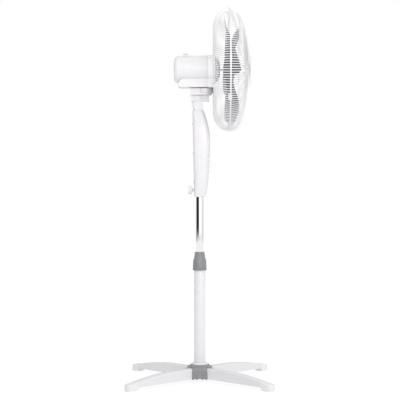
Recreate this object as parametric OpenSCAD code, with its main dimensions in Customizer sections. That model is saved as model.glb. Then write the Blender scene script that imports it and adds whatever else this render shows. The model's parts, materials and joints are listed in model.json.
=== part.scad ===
// Pedestal fan: crossed base, telescopic pole, control column, oscillating head and wire cage.
// Frame: millimetres, +Z up, origin on the floor under the pole, air blows towards +X.

/* [Base] */
// Distance from the pole axis to the outer end of a foot
leg_reach = 329; // [300:1:350]
// Width of a leg
leg_w = 32; // [28:1:34]
// Height of a leg's top edge at the hub
leg_top = 44; // [42:1:46]
// Height of a leg's underside above the floor
leg_under = 11; // [9:1:13]
// Height of a leg's top edge where its foot starts
leg_end_top = 27; // [25:1:28]
// Height of a foot's top edge at its outer end
foot_end_top = 21.5; // [20:0.5:23]
// Wall of the leg channel
leg_wall = 2.4; // [2:0.1:3]
// Distance from the pole axis to the hub's diagonal faces
hub_reach = 52; // [50:1:56]
// Half width of the hub across its flat sides
hub_half = 48.5; // [47:0.5:50]

/* [Pole] */
// Outer radius of the outer pole
pole_r = 19; // [18.5:0.1:19.2]
// Height of the outer pole's top
pole_top = 371; // [365:1:375]
// Outer radius of the chrome tube
tube_r = 12.5; // [12.3:0.1:12.5]
// Height of the chrome tube's lower end
tube_bottom = 270; // [268:1:280]

/* [Control column] */
// Height of the column's underside
box_bottom = 615; // [612:1:618]
// Height of the column's top
box_top = 904; // [902:1:906]
// Wall of the column's shells
box_wall = 2.4; // [2:0.1:2.8]
// Height of the lowest button's centre
button_z = 704; // [702:1:706]
// Distance between two button centres
button_pitch = 18; // [17:0.5:18]
// Height of one button
button_h = 13.6; // [12:0.2:14]
// Width of one button
button_w = 24; // [20:1:26]

/* [Head] */
// Height of the propeller's axis
axis_z = 1040; // [1038:1:1042]
// Outer radius of the motor housing at its front
housing_r = 48; // [47.5:0.1:48.4]
// Radius of the wire cage
cage_r = 205; // [200:1:205]
// Number of radial wires modelled in each half of the cage
cage_wires = 24; // [18:6:36]
// Radius of the propeller
blade_r = 181; // [170:1:185]
// Number of blades
blade_count = 3; // [3:1:3]

/* [Hidden] */

$fn = 64;
eps = 0.01;

// legs and hub
leg_angles = [45, 135, 225, 315];
leg_inner = 27;
leg_bend = 110;
hub_bottom = 9;
hub_shoulder = 36;
hub_crown = 46.5;
hub_top = 55;
hub_wall = 3;
crown_r = 38.5;
rim_r = 31;
rib_places = [-21.5, -9.5, 9.5, 21.5];
leg_fit = 0.2;
screw_at = 33;
foot_inner = leg_reach - 37;
foot_tongue = 16;
foot_end_r = 14;
sole_t = 3;
sole_inset = 1.2;
screw_r = 2;
bolt_r = 5;

// pole
pole_wall = 1.2;
pole_in = pole_r - pole_wall;
foot_top = 61;
spigot_top = 90;
tube_wall = 1.2;
tube_top = 690;
fit = 0.06;
collar_bottom = 369.6;
collar_top = 430.6;
flutes = 24;
flute_r = 1.9;

// control column
slot_gap = 0.4;
button_front = 38.6;
knob_z = 637.7;
tilt_x = -5;
tilt_z = 944;
ear_r = 9.5;
tongue_half = 9.7;
fork_half = 16;
lead_x = -17;
lead_r = 3.4;
gland_z = 640;

// head
swing_x = 18;
swing_r = 26.5;
post_r = 8;
plinth_bottom = 980;
plinth_half = 36;
pin_y = 17;
rear_x = -86;
screw_places = [-18, 18];
ring_x0 = 28.5;
ring_x1 = 45;
shaft_r = 4;
clutch_x = -47.5;
clutch_y = -15;
crank_x = -38;
crank_y = 6;
crank_throw = pin_y - crank_y;
clutch_gear_r = 5.8;
crank_gear_r = norm([crank_x - clutch_x, crank_y - clutch_y]) - clutch_gear_r - 0.35;
wire_r = 1.2;
hoop_r = 130;
seam_x = 99.5;
seam_gap = 1.25;
band_half = 2.6;
cage_corner = 60;
cage_depth = 67.5;
rear_depth = seam_x - seam_gap - ring_x1 - wire_r - 0.1;
cage_power = 2.65;
boss_r = 46;
boss_x = 56;
badge_r = 50;
badge_x = seam_x + seam_gap + cage_depth + wire_r + 0.1;
clip_x = seam_x - 6.5;
clip_angles = [90, -30, 210];
hub_r = 36;
hub_rear = 82;
blade_rear = 84;
trail_offset = 15.2;
lead_angle = 92;
ramp_angle = 52.5;
root_rise = 29.5;
extra_rise = 20.5;

// A point at radius r and angle a round the propeller's axis, with angle 0 towards -Y
function around(x, r, a) = [x, -r * cos(a), axis_z + r * sin(a)];

// A smooth open curve through the points p, with n steps between two of them
function spline(p, n) = [
  for (i = [0 : len(p) - 2], k = [0 : n - 1])
    let (a = p[max(i - 1, 0)], b = p[i], c = p[i + 1], d = p[min(i + 2, len(p) - 1)], t = k / n)
      b + 0.5 * t * ((c - a) + t * ((2 * a - 5 * b + 4 * c - d) + t * (3 * (b - c) + d - a))),
  p[len(p) - 1]
];

// Points reversed from last to first
function flip(p) = [for (i = [len(p) - 1 : -1 : 0]) p[i]];

// Turns a shape made along +Z so that it lies along +X on the propeller's axis
module along_x() translate([0, 0, axis_z]) rotate([0, 90, 0]) children();

// A ring or disc on the propeller's axis between two X positions
module disc_x(x0, x1, r, bore = 0) along_x() translate([0, 0, x0]) difference() {
  cylinder(h = x1 - x0, r = r);
  if (bore > 0) translate([0, 0, -1]) cylinder(h = x1 - x0 + 2, r = bore);
}

// A prism of a side outline [x, z], centred on Y
module side_prism(points, w) translate([0, w / 2, 0]) rotate([90, 0, 0])
  linear_extrude(w) polygon(points);

// A vertical pin or hole between two heights
module post(x, y, z0, z1, r) translate([x, y, z0]) cylinder(h = z1 - z0, r = r);

// A round bar along X
module bar_x(x0, x1, y, z, r) translate([x0, y, z]) rotate([0, 90, 0]) cylinder(h = x1 - x0, r = r);

// A round bar along Y, centred
module bar_y(x, z, w, r) translate([x, w / 2, z]) rotate([90, 0, 0]) cylinder(h = w, r = r);

// A block given by its lowest and highest corners
module block(a, b) translate(a) cube(b - a);

// ---------- base ----------

// A leg's upper edge from its outer end to its bend, lowered by t
function leg_crest(t) = [for (k = [0 : 8]) let (drop = 1 - k / 8)
  [leg_bend + (foot_inner - leg_bend) * drop, leg_top - t - (leg_top - leg_end_top) * drop * drop]];

module leg(angle) color("whitesmoke") rotate(angle) difference() {
  side_prism(concat(
    [[leg_inner, leg_under], [foot_inner, leg_under]], leg_crest(0), [[leg_inner, leg_top]]), leg_w);
  side_prism(concat(
    [[leg_inner - 1, 0], [foot_inner + 1, 0], [foot_inner + 1, leg_end_top - leg_wall]],
    leg_crest(leg_wall), [[leg_inner - 1, leg_top - leg_wall]]), leg_w - 2 * leg_wall);
  post(screw_at, 0, leg_top - 5, leg_top + 1, screw_r + 0.3);
}

module leg_front_left() leg(leg_angles[0]);
module leg_rear_left() leg(leg_angles[1]);
module leg_rear_right() leg(leg_angles[2]);
module leg_front_right() leg(leg_angles[3]);

// A foot's outline: a bar as wide as the leg with a broad rounded end
module foot_outline(inset) {
  r = foot_end_r;
  translate([foot_inner + 0.1 + inset, -leg_w / 2 + inset])
    square([leg_reach - r - foot_inner - inset, leg_w - 2 * inset]);
  for (y = [-1, 1]) translate([leg_reach - r, y * (leg_w / 2 - r)]) circle(r - inset);
  translate([leg_reach - r - eps, -leg_w / 2 + r]) square([r - inset + eps, leg_w - 2 * r]);
}

// A foot plugs the end of its leg with a tongue
module foot_caps() color("whitesmoke") for (a = leg_angles) rotate(a) {
  tongue_half_w = leg_w / 2 - leg_wall - 0.1;
  intersection() {
    translate([0, 0, sole_t]) linear_extrude(leg_end_top - sole_t) foot_outline(0);
    side_prism([[foot_inner, 0], [leg_reach + 1, 0], [leg_reach + 1, foot_end_top],
                [foot_inner, leg_end_top]], leg_w + 2);
  }
  block([foot_inner - foot_tongue, -tongue_half_w, leg_under],
        [foot_inner + 1, tongue_half_w, leg_end_top - leg_wall - 0.1]);
}

module foot_soles() color("silver") for (a = leg_angles) rotate(a)
  linear_extrude(sole_t) foot_outline(sole_inset);

module hub_outline(inset) intersection() {
  square(2 * (hub_half - inset), center = true);
  rotate(45) square(2 * (hub_reach - inset), center = true);
}

// An arched cut through the hub's lower edge, centred at y with half width w and depth h
module hub_arch(y, w, h) {
  r = (w * w + h * h) / (2 * h);
  bar_x(hub_half - hub_wall - 1, hub_half + 3, y, hub_bottom + h - r, r);
}

module base_hub() color("dimgray") difference() {
  union() {
    translate([0, 0, hub_bottom]) linear_extrude(hub_shoulder - hub_bottom) hub_outline(0);
    translate([0, 0, hub_shoulder - eps])
      cylinder(h = leg_top + leg_fit - hub_shoulder, r1 = hub_half, r2 = crown_r);
    post(0, 0, leg_top, hub_crown, crown_r);
    translate([0, 0, hub_crown - eps]) cylinder(h = hub_top - hub_crown, r1 = crown_r, r2 = rim_r);
    for (a = [0 : 90 : 270], y = rib_places) rotate(a)
      block([hub_half - 1, y - 1.5, hub_bottom], [hub_half + 1.2, y + 1.5, hub_shoulder]);
  }
  difference() {
    translate([0, 0, hub_bottom - 1]) linear_extrude(hub_shoulder - hub_wall - hub_bottom)
      hub_outline(hub_wall);
    post(0, 0, hub_bottom - 2, hub_shoulder, 22);
  }
  for (a = leg_angles) rotate(a) {
    block([leg_inner - 0.5, -leg_w / 2 - leg_fit, hub_bottom - 1],
          [hub_reach + 2, leg_w / 2 + leg_fit, leg_top + leg_fit]);
    post(screw_at, 0, leg_top - 1, hub_crown + 3, screw_r + 0.05);
  }
  for (a = [0 : 90 : 270]) rotate(a) {
    hub_arch(0, 7.8, 3);
    for (y = [-15.5, 15.5]) hub_arch(y, 4.4, 2.4);
  }
  post(0, 0, 0, 22, 13.5);
  post(0, 0, 0, hub_top + 1, bolt_r + 0.2);
}

module leg_screws() color("silver") for (a = leg_angles) rotate(a) {
  post(screw_at, 0, leg_top - leg_wall - 3, leg_top - leg_wall, 4);
  post(screw_at, 0, leg_top - leg_wall - 0.5, hub_crown + 2, screw_r);
}

module base_bolt() color("silver") {
  translate([0, 0, 12]) cylinder(h = 7, r = 9, $fn = 6);
  post(0, 0, 19, 22, 12.5);
  post(0, 0, 19, spigot_top - 4, bolt_r);
}

module pole_foot() color("whitesmoke") difference() {
  union() {
    translate([0, 0, hub_top]) cylinder(h = foot_top - hub_top, r1 = 28.4, r2 = 24);
    post(0, 0, foot_top - 1, spigot_top, pole_in - 0.1);
  }
  post(0, 0, hub_top - 1, spigot_top + 1, bolt_r + 0.1);
}

module outer_pole() color("white") difference() {
  post(0, 0, foot_top, pole_top, pole_r);
  post(0, 0, foot_top - 1, pole_top + 1, pole_in);
}

module pole_bush() color("gray") difference() {
  union() {
    post(0, 0, pole_top - 40, pole_top, pole_in - 0.1);
    post(0, 0, pole_top, pole_top + 3, pole_r);
  }
  post(0, 0, pole_top - 41, pole_top + 4, tube_r + fit);
}

module collet() color("dimgray") difference() {
  post(0, 0, pole_top + 3, pole_top + 33, 15.5);
  post(0, 0, pole_top + 2, pole_top + 34, tube_r + fit);
  for (a = [0 : 60 : 120]) rotate(a)
    block([-20, -0.8, pole_top + 12], [20, 0.8, pole_top + 34]);
}

module locking_collar() color("gray") difference() {
  rotate_extrude() polygon([
    [19.6, collar_bottom], [23.2, collar_bottom], [21.6, 403.5], [18.6, 409.5], [16, 429.4],
    [15.2, collar_top], [12.9, collar_top], [12.9, 407], [16, 406.5], [16, pole_top + 4],
    [19.6, pole_top + 3.6]]);
  for (k = [0 : flutes - 1]) rotate(360 * k / flutes)
    post(24, 0, collar_bottom + 3, 402, flute_r);
}

// ---------- mast and control column ----------

module chrome_tube() color("lightgray") difference() {
  post(0, 0, tube_bottom, tube_top, tube_r);
  post(0, 0, tube_bottom - 1, tube_top + 1, tube_r - tube_wall);
}

module tube_end_plug() color("dimgray") {
  post(0, 0, tube_bottom - 6, tube_bottom, pole_in - 0.4);
  post(0, 0, tube_bottom - 1, tube_bottom + 15, tube_r - tube_wall - 0.1);
}

// Front edge, rear edge and half width of the column against height
column_front = [[17, box_bottom], [24.6, 638], [29.2, 678], [31.2, 738], [35.2, 805],
                [30.2, 846], [21, 880], [12.5, box_top]];
column_side = [[22, box_bottom], [28.5, 650], [32, 710], [33, 780], [30, 840], [17, box_top]];

function column_profile(t) = [for (p = spline(column_front, 4))
  [p[0] - t, min(max(p[1], box_bottom + t), box_top - t)]];

module column_solid(t) intersection() {
  side_prism(concat(
    [[-18.5 + t, box_bottom + t]], column_profile(t), [[-24.5 + t, box_top - t]]), 100);
  translate([-60, 0, 0]) rotate([90, 0, 90]) linear_extrude(120) polygon(concat(
    [for (p = spline(column_side, 4)) [p[0] - t, min(max(p[1], box_bottom + t), box_top - t)]],
    flip([for (p = spline(column_side, 4))
      [t - p[0], min(max(p[1], box_bottom + t), box_top - t)]])));
}

// The part of the column taken by the rear cover, grown by g
module cover_region(g) side_prism(concat(
  [[-40, 868 + g]],
  spline([[-21, 868 + g], [-12 + g, 862 + g], [-6.5 + g, 846], [-5.7 + g, 820]], 3),
  spline([[-5.7 + g, 735], [-6.5 + g, 708], [-13 + g, 678], [-19 + g, 652 - g]], 3),
  [[-40, 652 - g]]), 120);

module button_slots() for (k = [0 : 3])
  block([20, -button_w / 2 - slot_gap, button_z + k * button_pitch - button_h / 2 - slot_gap],
        [45, button_w / 2 + slot_gap, button_z + k * button_pitch + button_h / 2 + slot_gap]);

module control_box_front() color("white") difference() {
  column_solid(0);
  column_solid(box_wall);
  cover_region(0.2);
  button_slots();
  post(0, 0, box_bottom - 1, box_bottom + 5, tube_r + 0.05);
  bar_x(-30, -10, 0, knob_z, 3.4);
  post(0, 0, box_top - 5, box_top + 1, 10.1);
  post(lead_x, 0, box_top - 5, box_top + 1, lead_r + 0.3);
  translate([2, 10, gland_z]) rotate([-90, 0, 0]) cylinder(h = 40, r = 5.6);
}

module control_box_rear() color("gainsboro") difference() {
  intersection() {
    column_solid(0);
    cover_region(0);
  }
  column_solid(box_wall);
  for (z = [859, 760, 664]) bar_x(-30, -10, 0, z, 2.2);
}

module box_screws() color("silver") for (z = [859, 760, 664]) {
  rear = -18.5 - 6 * (z - box_bottom) / (box_top - box_bottom);
  bar_x(rear - 1.3, rear - 0.1, 0, z, 3.4);
  bar_x(rear - 0.5, rear + 4.6, 0, z, 1.9);
}

module switch_bank() color("dimgray") {
  block([14.5, -15, button_z - 12], [19.5, 15, button_z + 3 * button_pitch + 12]);
  for (k = [0 : 3]) bar_x(19, 21.2, 0, button_z + k * button_pitch, 3);
}

// Inlet for a mains cord on the column's far side
module cord_gland() color("dimgray") translate([2, 0, gland_z]) rotate([-90, 0, 0]) difference() {
  union() {
    translate([0, 0, 17]) cylinder(h = 14, r = 5.5);
    translate([0, 0, 28.4]) cylinder(h = 2.6, r = 7);
  }
  translate([0, 0, 16]) cylinder(h = 16, r = 3.6);
}

// One push button at row k, counted from the bottom
module button(k) color("gainsboro") {
  z = button_z + k * button_pitch;
  block([28, -button_w / 2, z - button_h / 2], [button_front, button_w / 2, z + button_h / 2]);
  bar_x(25.4, 29, 0, z, 3);
}

module button_off() button(0);
module button_low() button(1);
module button_medium() button(2);
module button_high() button(3);

module mast_knob() color("whitesmoke") {
  difference() {
    bar_x(-38.7, -26, 0, knob_z, 14.2);
    for (a = [0 : 30 : 330]) translate([0, 15.6 * cos(a), knob_z + 15.6 * sin(a)])
      bar_x(-39, -25, 0, 0, 2.6);
  }
  bar_x(-26.5, -22, 0, knob_z, 6);
  bar_x(-22.5, -tube_r - 0.3, 0, knob_z, 3);
}

module neck_stem() color("white") difference() {
  union() {
    post(0, 0, box_top - 30, box_top + 1, 10);
    block([-12.4, -fork_half, box_top], [11, fork_half, 926]);
    block([tilt_x - ear_r, -fork_half, 920], [tilt_x + ear_r, fork_half, tilt_z]);
    bar_y(tilt_x, tilt_z, 2 * fork_half, ear_r);
    block([0, -fork_half, 920], [9.6, fork_half, tilt_z - ear_r - 0.6]);
  }
  block([-40, -tongue_half - 0.4, 925], [40, tongue_half + 0.4, 970]);
  bar_y(tilt_x, tilt_z, 60, 3.05);
}

module tilt_bolt() color("silver") {
  bar_y(tilt_x, tilt_z, 2 * fork_half + 2, 3);
  translate([0, -fork_half - 2, 0]) bar_y(tilt_x, tilt_z, 4, 5.5);
  translate([0, fork_half + 2, 0]) translate([tilt_x, 2, tilt_z]) rotate([90, 0, 0])
    cylinder(h = 4, r = 6, $fn = 6);
}

// Short flexible lead between the control column and the swinging head's bracket
lead_route = [[lead_x, 0, 898], [lead_x, 0, 904], [-18, 0, 908], [-21, 0, 912], [-22.5, 0, 917],
              [-23.5, 0, 922], [-23.5, 0, 928], [-23.5, 0, 934.4]];

function ring_at(p, d, n) = [for (k = [0 : n - 1]) let (
  u = [0, 1, 0],
  v = cross(d / norm(d), u))
  p + lead_r * (cos(360 * k / n) * u + sin(360 * k / n) * v)];

module sweep(route, n) {
  m = len(route);
  points = [for (i = [0 : m - 1])
    each ring_at(route[i], route[min(i + 1, m - 1)] - route[max(i - 1, 0)], n)];
  sides = [for (i = [0 : m - 2], k = [0 : n - 1]) let (j = (k + 1) % n)
    each [[i * n + k, i * n + j, (i + 1) * n + j], [i * n + k, (i + 1) * n + j, (i + 1) * n + k]]];
  polyhedron(points, concat(sides,
    [[for (k = [n - 1 : -1 : 0]) k]], [[for (k = [0 : n - 1]) (m - 1) * n + k]]));
}

module motor_lead() color("white") sweep(spline(lead_route, 2), 8);

// ---------- neck ----------

module tilt_bracket() color("whitesmoke") difference() {
  union() {
    block([-29, -tongue_half, tilt_z - ear_r], [32, tongue_half, 956]);
    block([-32.5, -20, 955.5], [swing_x, 20, 962]);
    post(swing_x, 0, 955.5, 962, 22.5);
    block([-32.5, -20, 961], [0.4, 20, 978.4]);
  }
  bar_y(tilt_x, tilt_z, 60, 3.06);
  post(swing_x, 0, 950, 963, post_r + 0.4);
  post(swing_x, 0, 962, 980, swing_r + 0.1);
}

module swing_housing() color("white") difference() {
  union() {
    post(swing_x, 0, 962, 978, swing_r);
    post(swing_x, pin_y, 977, 985.6, 3);
  }
  post(swing_x, 0, 961, 979, 10.5);
}

module swing_bush() color("goldenrod") difference() {
  post(swing_x, 0, 962.1, 978.4, 10.4);
  post(swing_x, 0, 961, 980, post_r + 0.05);
}

module link_arm() color("silver") difference() {
  union() {
    block([crank_x, pin_y - 3.2, 981.4], [swing_x, pin_y + 3.2, 984.8]);
    post(swing_x, pin_y, 981.4, 984.8, 5);
    post(crank_x, pin_y, 981.4, 984.8, 5.5);
  }
  post(swing_x, pin_y, 980, 986, 3.06);
  post(crank_x, pin_y, 980, 986, 2.9);
}

// ---------- head ----------

module motor_housing() color("white") difference() {
  along_x() rotate_extrude() polygon(concat(
    [for (a = [0 : 15 : 90]) [46.3 - 17 + 17 * sin(a), rear_x + 17 - 17 * cos(a)]],
    [[housing_r, ring_x0], [housing_r - 2.4, ring_x0]],
    [for (a = [90 : -15 : 0]) [46.3 - 17 + 14.6 * sin(a), rear_x + 17 - 14.6 * cos(a)]],
    [[0, rear_x + 2.4], [0, rear_x]]));
  block([-58, -33, 970], [ring_x0 + 1, 33, 1007]);
  post(clutch_x, clutch_y, 1070, 1100, 4.4);
  for (y = screw_places) bar_x(rear_x - 1, rear_x + 5, y, axis_z, 2.1);
}

module housing_ring() color("white") difference() {
  union() {
    disc_x(ring_x0 + 0.2, ring_x1, 50.4);
    block([ring_x0 + 0.2, -plinth_half - 2, 978.6], [ring_x1, plinth_half + 2, axis_z - 32]);
  }
  disc_x(ring_x0 - 1, ring_x1 - 3, housing_r - 2.2);
  block([ring_x0 - 1, -plinth_half + 1, 975], [ring_x1 - 3, plinth_half - 1, axis_z - 30]);
  disc_x(ring_x0, ring_x1 + 1, 34);
}

// The lower cover's side outline, drawn in by t
function cover_outline(t) = [
  [ring_x0 + (t > 0 ? 1 : 0), 1008 + t], [-60.5 + t, 1008 + t], [-67 + t, 1001], [-71.5 + t, 993],
  [-72.5 + t, plinth_bottom + 8], [-70 + t, plinth_bottom + 3 + t / 2], [-65 + t, plinth_bottom + t / 2],
  [ring_x0 + (t > 0 ? 1 : 0), plinth_bottom + t / 2]];

module lower_cover() color("whitesmoke") difference() {
  side_prism(cover_outline(0), 2 * plinth_half);
  side_prism(cover_outline(2.4), 2 * plinth_half - 5.2);
  post(swing_x, 0, plinth_bottom - 1, plinth_bottom + 2, 24);
  disc_x(-90, ring_x0 + 1, housing_r + 0.2);
}

module housing_screws() color("silver") for (y = screw_places) {
  bar_x(rear_x - 0.7, rear_x - 0.05, y, axis_z, 3.6);
  bar_x(rear_x - 0.5, rear_x + 20, y, axis_z, 1.9);
}

module motor_frame() color("gray") {
  block([-14, -30, 988], [36, 30, 993]);
  post(swing_x, 0, 957, 994, post_r);
  post(swing_x, 0, 986.4, 988.5, 13);
}

// A cast end bell with four windows and a bearing seat
module bell(x0, x1, boss0, boss1) difference() {
  union() {
    disc_x(x0, x1, 43);
    disc_x(boss0, boss1, 12);
    block([x0, -24, 993], [x1, 24, 1002]);
  }
  disc_x(boss0 - 1, boss1 + 1, 8.1);
  for (a = [45 : 90 : 315]) translate([x0 - 1, 28 * cos(a), axis_z + 28 * sin(a)])
    rotate([0, 90, 0]) cylinder(h = x1 - x0 + 2, r = 8);
}

module rear_bell() color("silver") bell(-12, -8, -16, -6);

module front_bell() color("silver") {
  bell(32, 36, 28, 38);
  disc_x(37.5, 66, 12, 9.5);
}

module stator_core() color("darkgray") difference() {
  disc_x(-2, 24, 42, 21.2);
  for (a = [0 : 30 : 330]) translate([-3, 27 * cos(a), axis_z + 27 * sin(a)])
    rotate([0, 90, 0]) cylinder(h = 28, r = 4.2);
}

module stator_coils() color("chocolate") {
  for (a = [0 : 30 : 330]) bar_x(-4, 26, 27 * cos(a), axis_z + 27 * sin(a), 4);
  disc_x(-5.6, -3, 34, 22);
  disc_x(25, 27.6, 34, 22);
}

module bearings() color("goldenrod") {
  disc_x(-16, -6, 8, shaft_r + 0.05);
  disc_x(28, 38, 8, shaft_r + 0.05);
}

module gearbox_case() color("gray") difference() {
  union() {
    block([-64, -24, 1006], [-12.2, 27, 1012]);
    block([-64, 18, 1011], [-36, 21, 1051]);
    block([-64, -24, 1011], [-60, 21, 1051]);
    block([-64, -24, 1050], [-36, 21, 1054]);
    for (y = screw_places) bar_x(rear_x + 8, -62, y, axis_z, 4);
  }
  post(clutch_x, clutch_y, 1000, 1060, 3.06);
  post(crank_x, crank_y, 1000, 1013, 4.06);
  for (y = screw_places) bar_x(rear_x + 5, -59, y, axis_z, 1.95);
}

module capacitor() color("whitesmoke") block([-12, -13, 800], [6, 13, 838]);

// Radial distance of the rear guard at depth x, and of the front guard
function rear_line() = concat([[boss_r - 2, 0]],
  [for (a = [0 : 11.25 : 90])
    [cage_r - wire_r - cage_corner + cage_corner * sin(a), rear_depth - rear_depth * cos(a)]]);
function front_line() = [for (k = [12 : -1 : 0]) let (
  a = k / 12 * acos(pow((badge_r - 2) / (cage_r - wire_r), cage_power / 2)),
  c = pow(cos(a), 2 / cage_power), s = pow(sin(a), 2 / cage_power))
  [(cage_r - wire_r) * c, cage_depth * s]];

// A flat band of half thickness h along a line of [radius, depth] points
function band(p, h) = concat(
  [for (i = [0 : len(p) - 1]) let (d = p[min(i + 1, len(p) - 1)] - p[max(i - 1, 0)],
    n = [-d[1], d[0]] / norm(d)) p[i] + h * n],
  [for (i = [len(p) - 1 : -1 : 0]) let (d = p[min(i + 1, len(p) - 1)] - p[max(i - 1, 0)],
    n = [-d[1], d[0]] / norm(d)) p[i] - h * n]);

module wire_fan(line, x, turn) for (k = [0 : cage_wires - 1])
  translate([x, 0, axis_z]) rotate([360 * (k + turn) / cage_wires, 0, 0])
    rotate([90, 0, 0]) translate([0, 0, -wire_r])
      linear_extrude(2 * wire_r) polygon([for (q = band(line, wire_r)) [q[1], q[0]]]);

module hoop(r, x, w) along_x() translate([0, 0, x]) rotate_extrude()
  translate([r, 0]) square(2 * w, center = true);

module rear_grille() color("white") {
  wire_fan(rear_line(), ring_x1 + wire_r + 0.1, 0.5);
  hoop(cage_r - wire_r, seam_x - seam_gap, wire_r);
  hoop(hoop_r, ring_x1 + wire_r + 0.1, wire_r);
  disc_x(ring_x1 + 0.1, ring_x1 + 3, boss_r, 12.3);
  disc_x(ring_x1 + 2, boss_x, boss_r, boss_r - 3);
}

// Domed nut that clamps the rear guard, with finger hollows round its edge
module grille_nut() color("gainsboro") difference() {
  along_x() rotate_extrude() polygon([
    [12.06, boss_x + 0.1], [41, boss_x + 0.1], [41, boss_x + 2.5], [34, 62.5], [26, 66], [18, 67.8],
    [12.06, 68]]);
  for (a = [0 : 30 : 330]) translate([boss_x - 1, 43 * cos(a), axis_z + 43 * sin(a)])
    rotate([0, 90, 0]) cylinder(h = 14, r = 5);
}

// Depth of the front guard at radius r, from the seam
function front_depth(r) = seam_gap + cage_depth * pow(1 - pow(r / (cage_r - wire_r), cage_power),
  1 / cage_power);

module front_grille() color("white") {
  wire_fan(front_line(), seam_x + seam_gap, 0.5);
  hoop(cage_r - wire_r, seam_x + seam_gap, wire_r);
  for (r = [hoop_r, badge_r - 2]) hoop(r, seam_x + front_depth(r), wire_r);
}

// Places children at a clip: local +X forward, +Z outward from the ring
module at_clip(a) translate([0, 0, axis_z]) rotate([-a + 90, 0, 0]) children();

module clip_ear(y) translate([clip_x, y + 1, cage_r + 4]) rotate([90, 0, 0])
  cylinder(h = 2, r = 2.2);

module joining_ring() color("white") difference() {
  union() {
    disc_x(seam_x - band_half, seam_x + band_half, cage_r + 1.4, cage_r + 0.2);
    for (a = clip_angles) at_clip(a) for (y = [-9, 9]) {
      clip_ear(y);
      block([clip_x - 2, y - 1, cage_r + 0.6], [seam_x - 1, y + 1, cage_r + 4]);
    }
  }
  for (a = clip_angles) at_clip(a) translate([clip_x, 15, cage_r + 4])
    rotate([90, 0, 0]) cylinder(h = 30, r = 1.26);
}

module ring_clip(a) color("white") at_clip(a) {
  translate([clip_x, 10.4, cage_r + 4]) rotate([90, 0, 0]) cylinder(h = 20.8, r = 1.2);
  translate([clip_x, 7.6, cage_r + 4]) rotate([90, 0, 0]) cylinder(h = 15.2, r = 1.9);
  block([clip_x + 0.5, -7.6, cage_r + 2.5], [seam_x + 4.6, 7.6, cage_r + 4.4]);
  block([seam_x + 3.2, -7.6, cage_r + 0.6], [seam_x + 4.6, 7.6, cage_r + 3]);
}

module clip_top() ring_clip(clip_angles[0]);
module clip_near() ring_clip(clip_angles[1]);
module clip_far() ring_clip(clip_angles[2]);

module front_badge() color("white") along_x() rotate_extrude() polygon([
  [0, 166.4], [badge_r - 5, 166.4], [badge_r - 5, badge_x], [badge_r + 1, badge_x],
  [badge_r - 2, badge_x + 0.8], [0, badge_x + 1.6]]);

// ---------- rotor ----------

module motor_shaft() color("silver") {
  disc_x(-58, 128, shaft_r);
  for (x = [-56 : 3 : -41]) disc_x(x, x + 1.6, 5);
}

module rotor_core() color("gray") disc_x(-1, 23, 20.7, shaft_r + 0.03);

// How far a blade's outer corner is cut back, in degrees, at radius r
function corner_cut(r, start, angle) =
  r < start ? 0 : angle * pow((r - start) / (blade_r - start), 2);

// Angles of a blade's front and rear edges at radius r
function front_edge(r) = -asin(trail_offset / r) + corner_cut(r, 158, 15);
function rear_edge(r) = lead_angle - 16 * (blade_r - r) / blade_r - corner_cut(r, 140, 22);

// A soft step from 0 at low to 1 at high
function ease(x, low, high) = let (u = min(max((x - low) / (high - low), 0), 1)) u * u * (3 - 2 * u);

// How far a blade's rear part leans forward at radius r and angle d behind its front line
function lean(r, d) = ease(d, 40, 60) * (3.5 * ease(r, 60, 125) - 6 * ease(r, 140, blade_r));

// Depth of a blade at radius r and angle d behind the line of its front edge
function blade_depth(r, d) = let (
  z = (root_rise + extra_rise * ease(r, 45, 140)) * (1 - d / ramp_angle))
  blade_rear + 3 * ln(1 + exp(z / 3)) + lean(r, d);

// A point of a blade at span s (0 root, 1 tip) and chord t (0 front), turned by a
function blade_point(s, t, a, side) = let (
  r = hub_r - 4 + (blade_r - hub_r + 4) * s,
  f = front_edge(r) + (rear_edge(r) - front_edge(r)) * t)
  around(blade_depth(r, f + asin(trail_offset / r)) + side * 1.2, r, a + f);

module blade(a) {
  m = 10;
  n = 12;
  cols = n + 1;
  top = [for (i = [0 : m], j = [0 : n]) blade_point(i / m, j / n, a, 1)];
  low = [for (i = [0 : m], j = [0 : n]) blade_point(i / m, j / n, a, -1)];
  count = len(top);
  skin = [for (i = [0 : m - 1], j = [0 : n - 1]) let (q = i * cols + j) each [
    [q, q + cols, q + cols + 1], [q, q + cols + 1, q + 1],
    [count + q, count + q + cols + 1, count + q + cols],
    [count + q, count + q + 1, count + q + cols + 1]]];
  ends = [for (j = [0 : n - 1], i = [0, m]) let (q = i * cols + j)
    each (i == 0 ? [[q, q + 1, count + q + 1], [q, count + q + 1, count + q]]
                 : [[q, count + q + 1, q + 1], [q, count + q, count + q + 1]])];
  edges = [for (i = [0 : m - 1], j = [0, n]) let (q = i * cols + j)
    each (j == 0 ? [[q, count + q + cols, q + cols], [q, count + q, count + q + cols]]
                 : [[q, q + cols, count + q + cols], [q, count + q + cols, count + q]])];
  polyhedron(concat(top, low), concat(skin, ends, edges));
}

module propeller() color("gray") difference() {
  union() {
    for (k = [0 : blade_count - 1]) blade(360 * k / blade_count);
    disc_x(hub_rear, 116, hub_r);
  }
  disc_x(hub_rear - 1, 112, hub_r - 3);
  disc_x(110, 118, shaft_r + 0.05);
}

module propeller_nut() color("dimgray") difference() {
  along_x() rotate_extrude() polygon([[0, 116.1], [15, 116.1], [16, 118], [14, 128], [8, 134], [0, 135]]);
  disc_x(115, 129, shaft_r + 0.05);
}

// ---------- oscillating drive ----------

// A plain spur gear whose teeth are 1.6 mm deep
module gear(x, y, z0, z1, r, teeth) translate([x, y, z0]) linear_extrude(z1 - z0) polygon([
  for (k = [0 : 4 * teeth - 1]) let (q = k % 4, rr = (q < 2) ? r : r - 1.6)
    rr * [cos(90 * k / teeth), sin(90 * k / teeth)]]);

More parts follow.
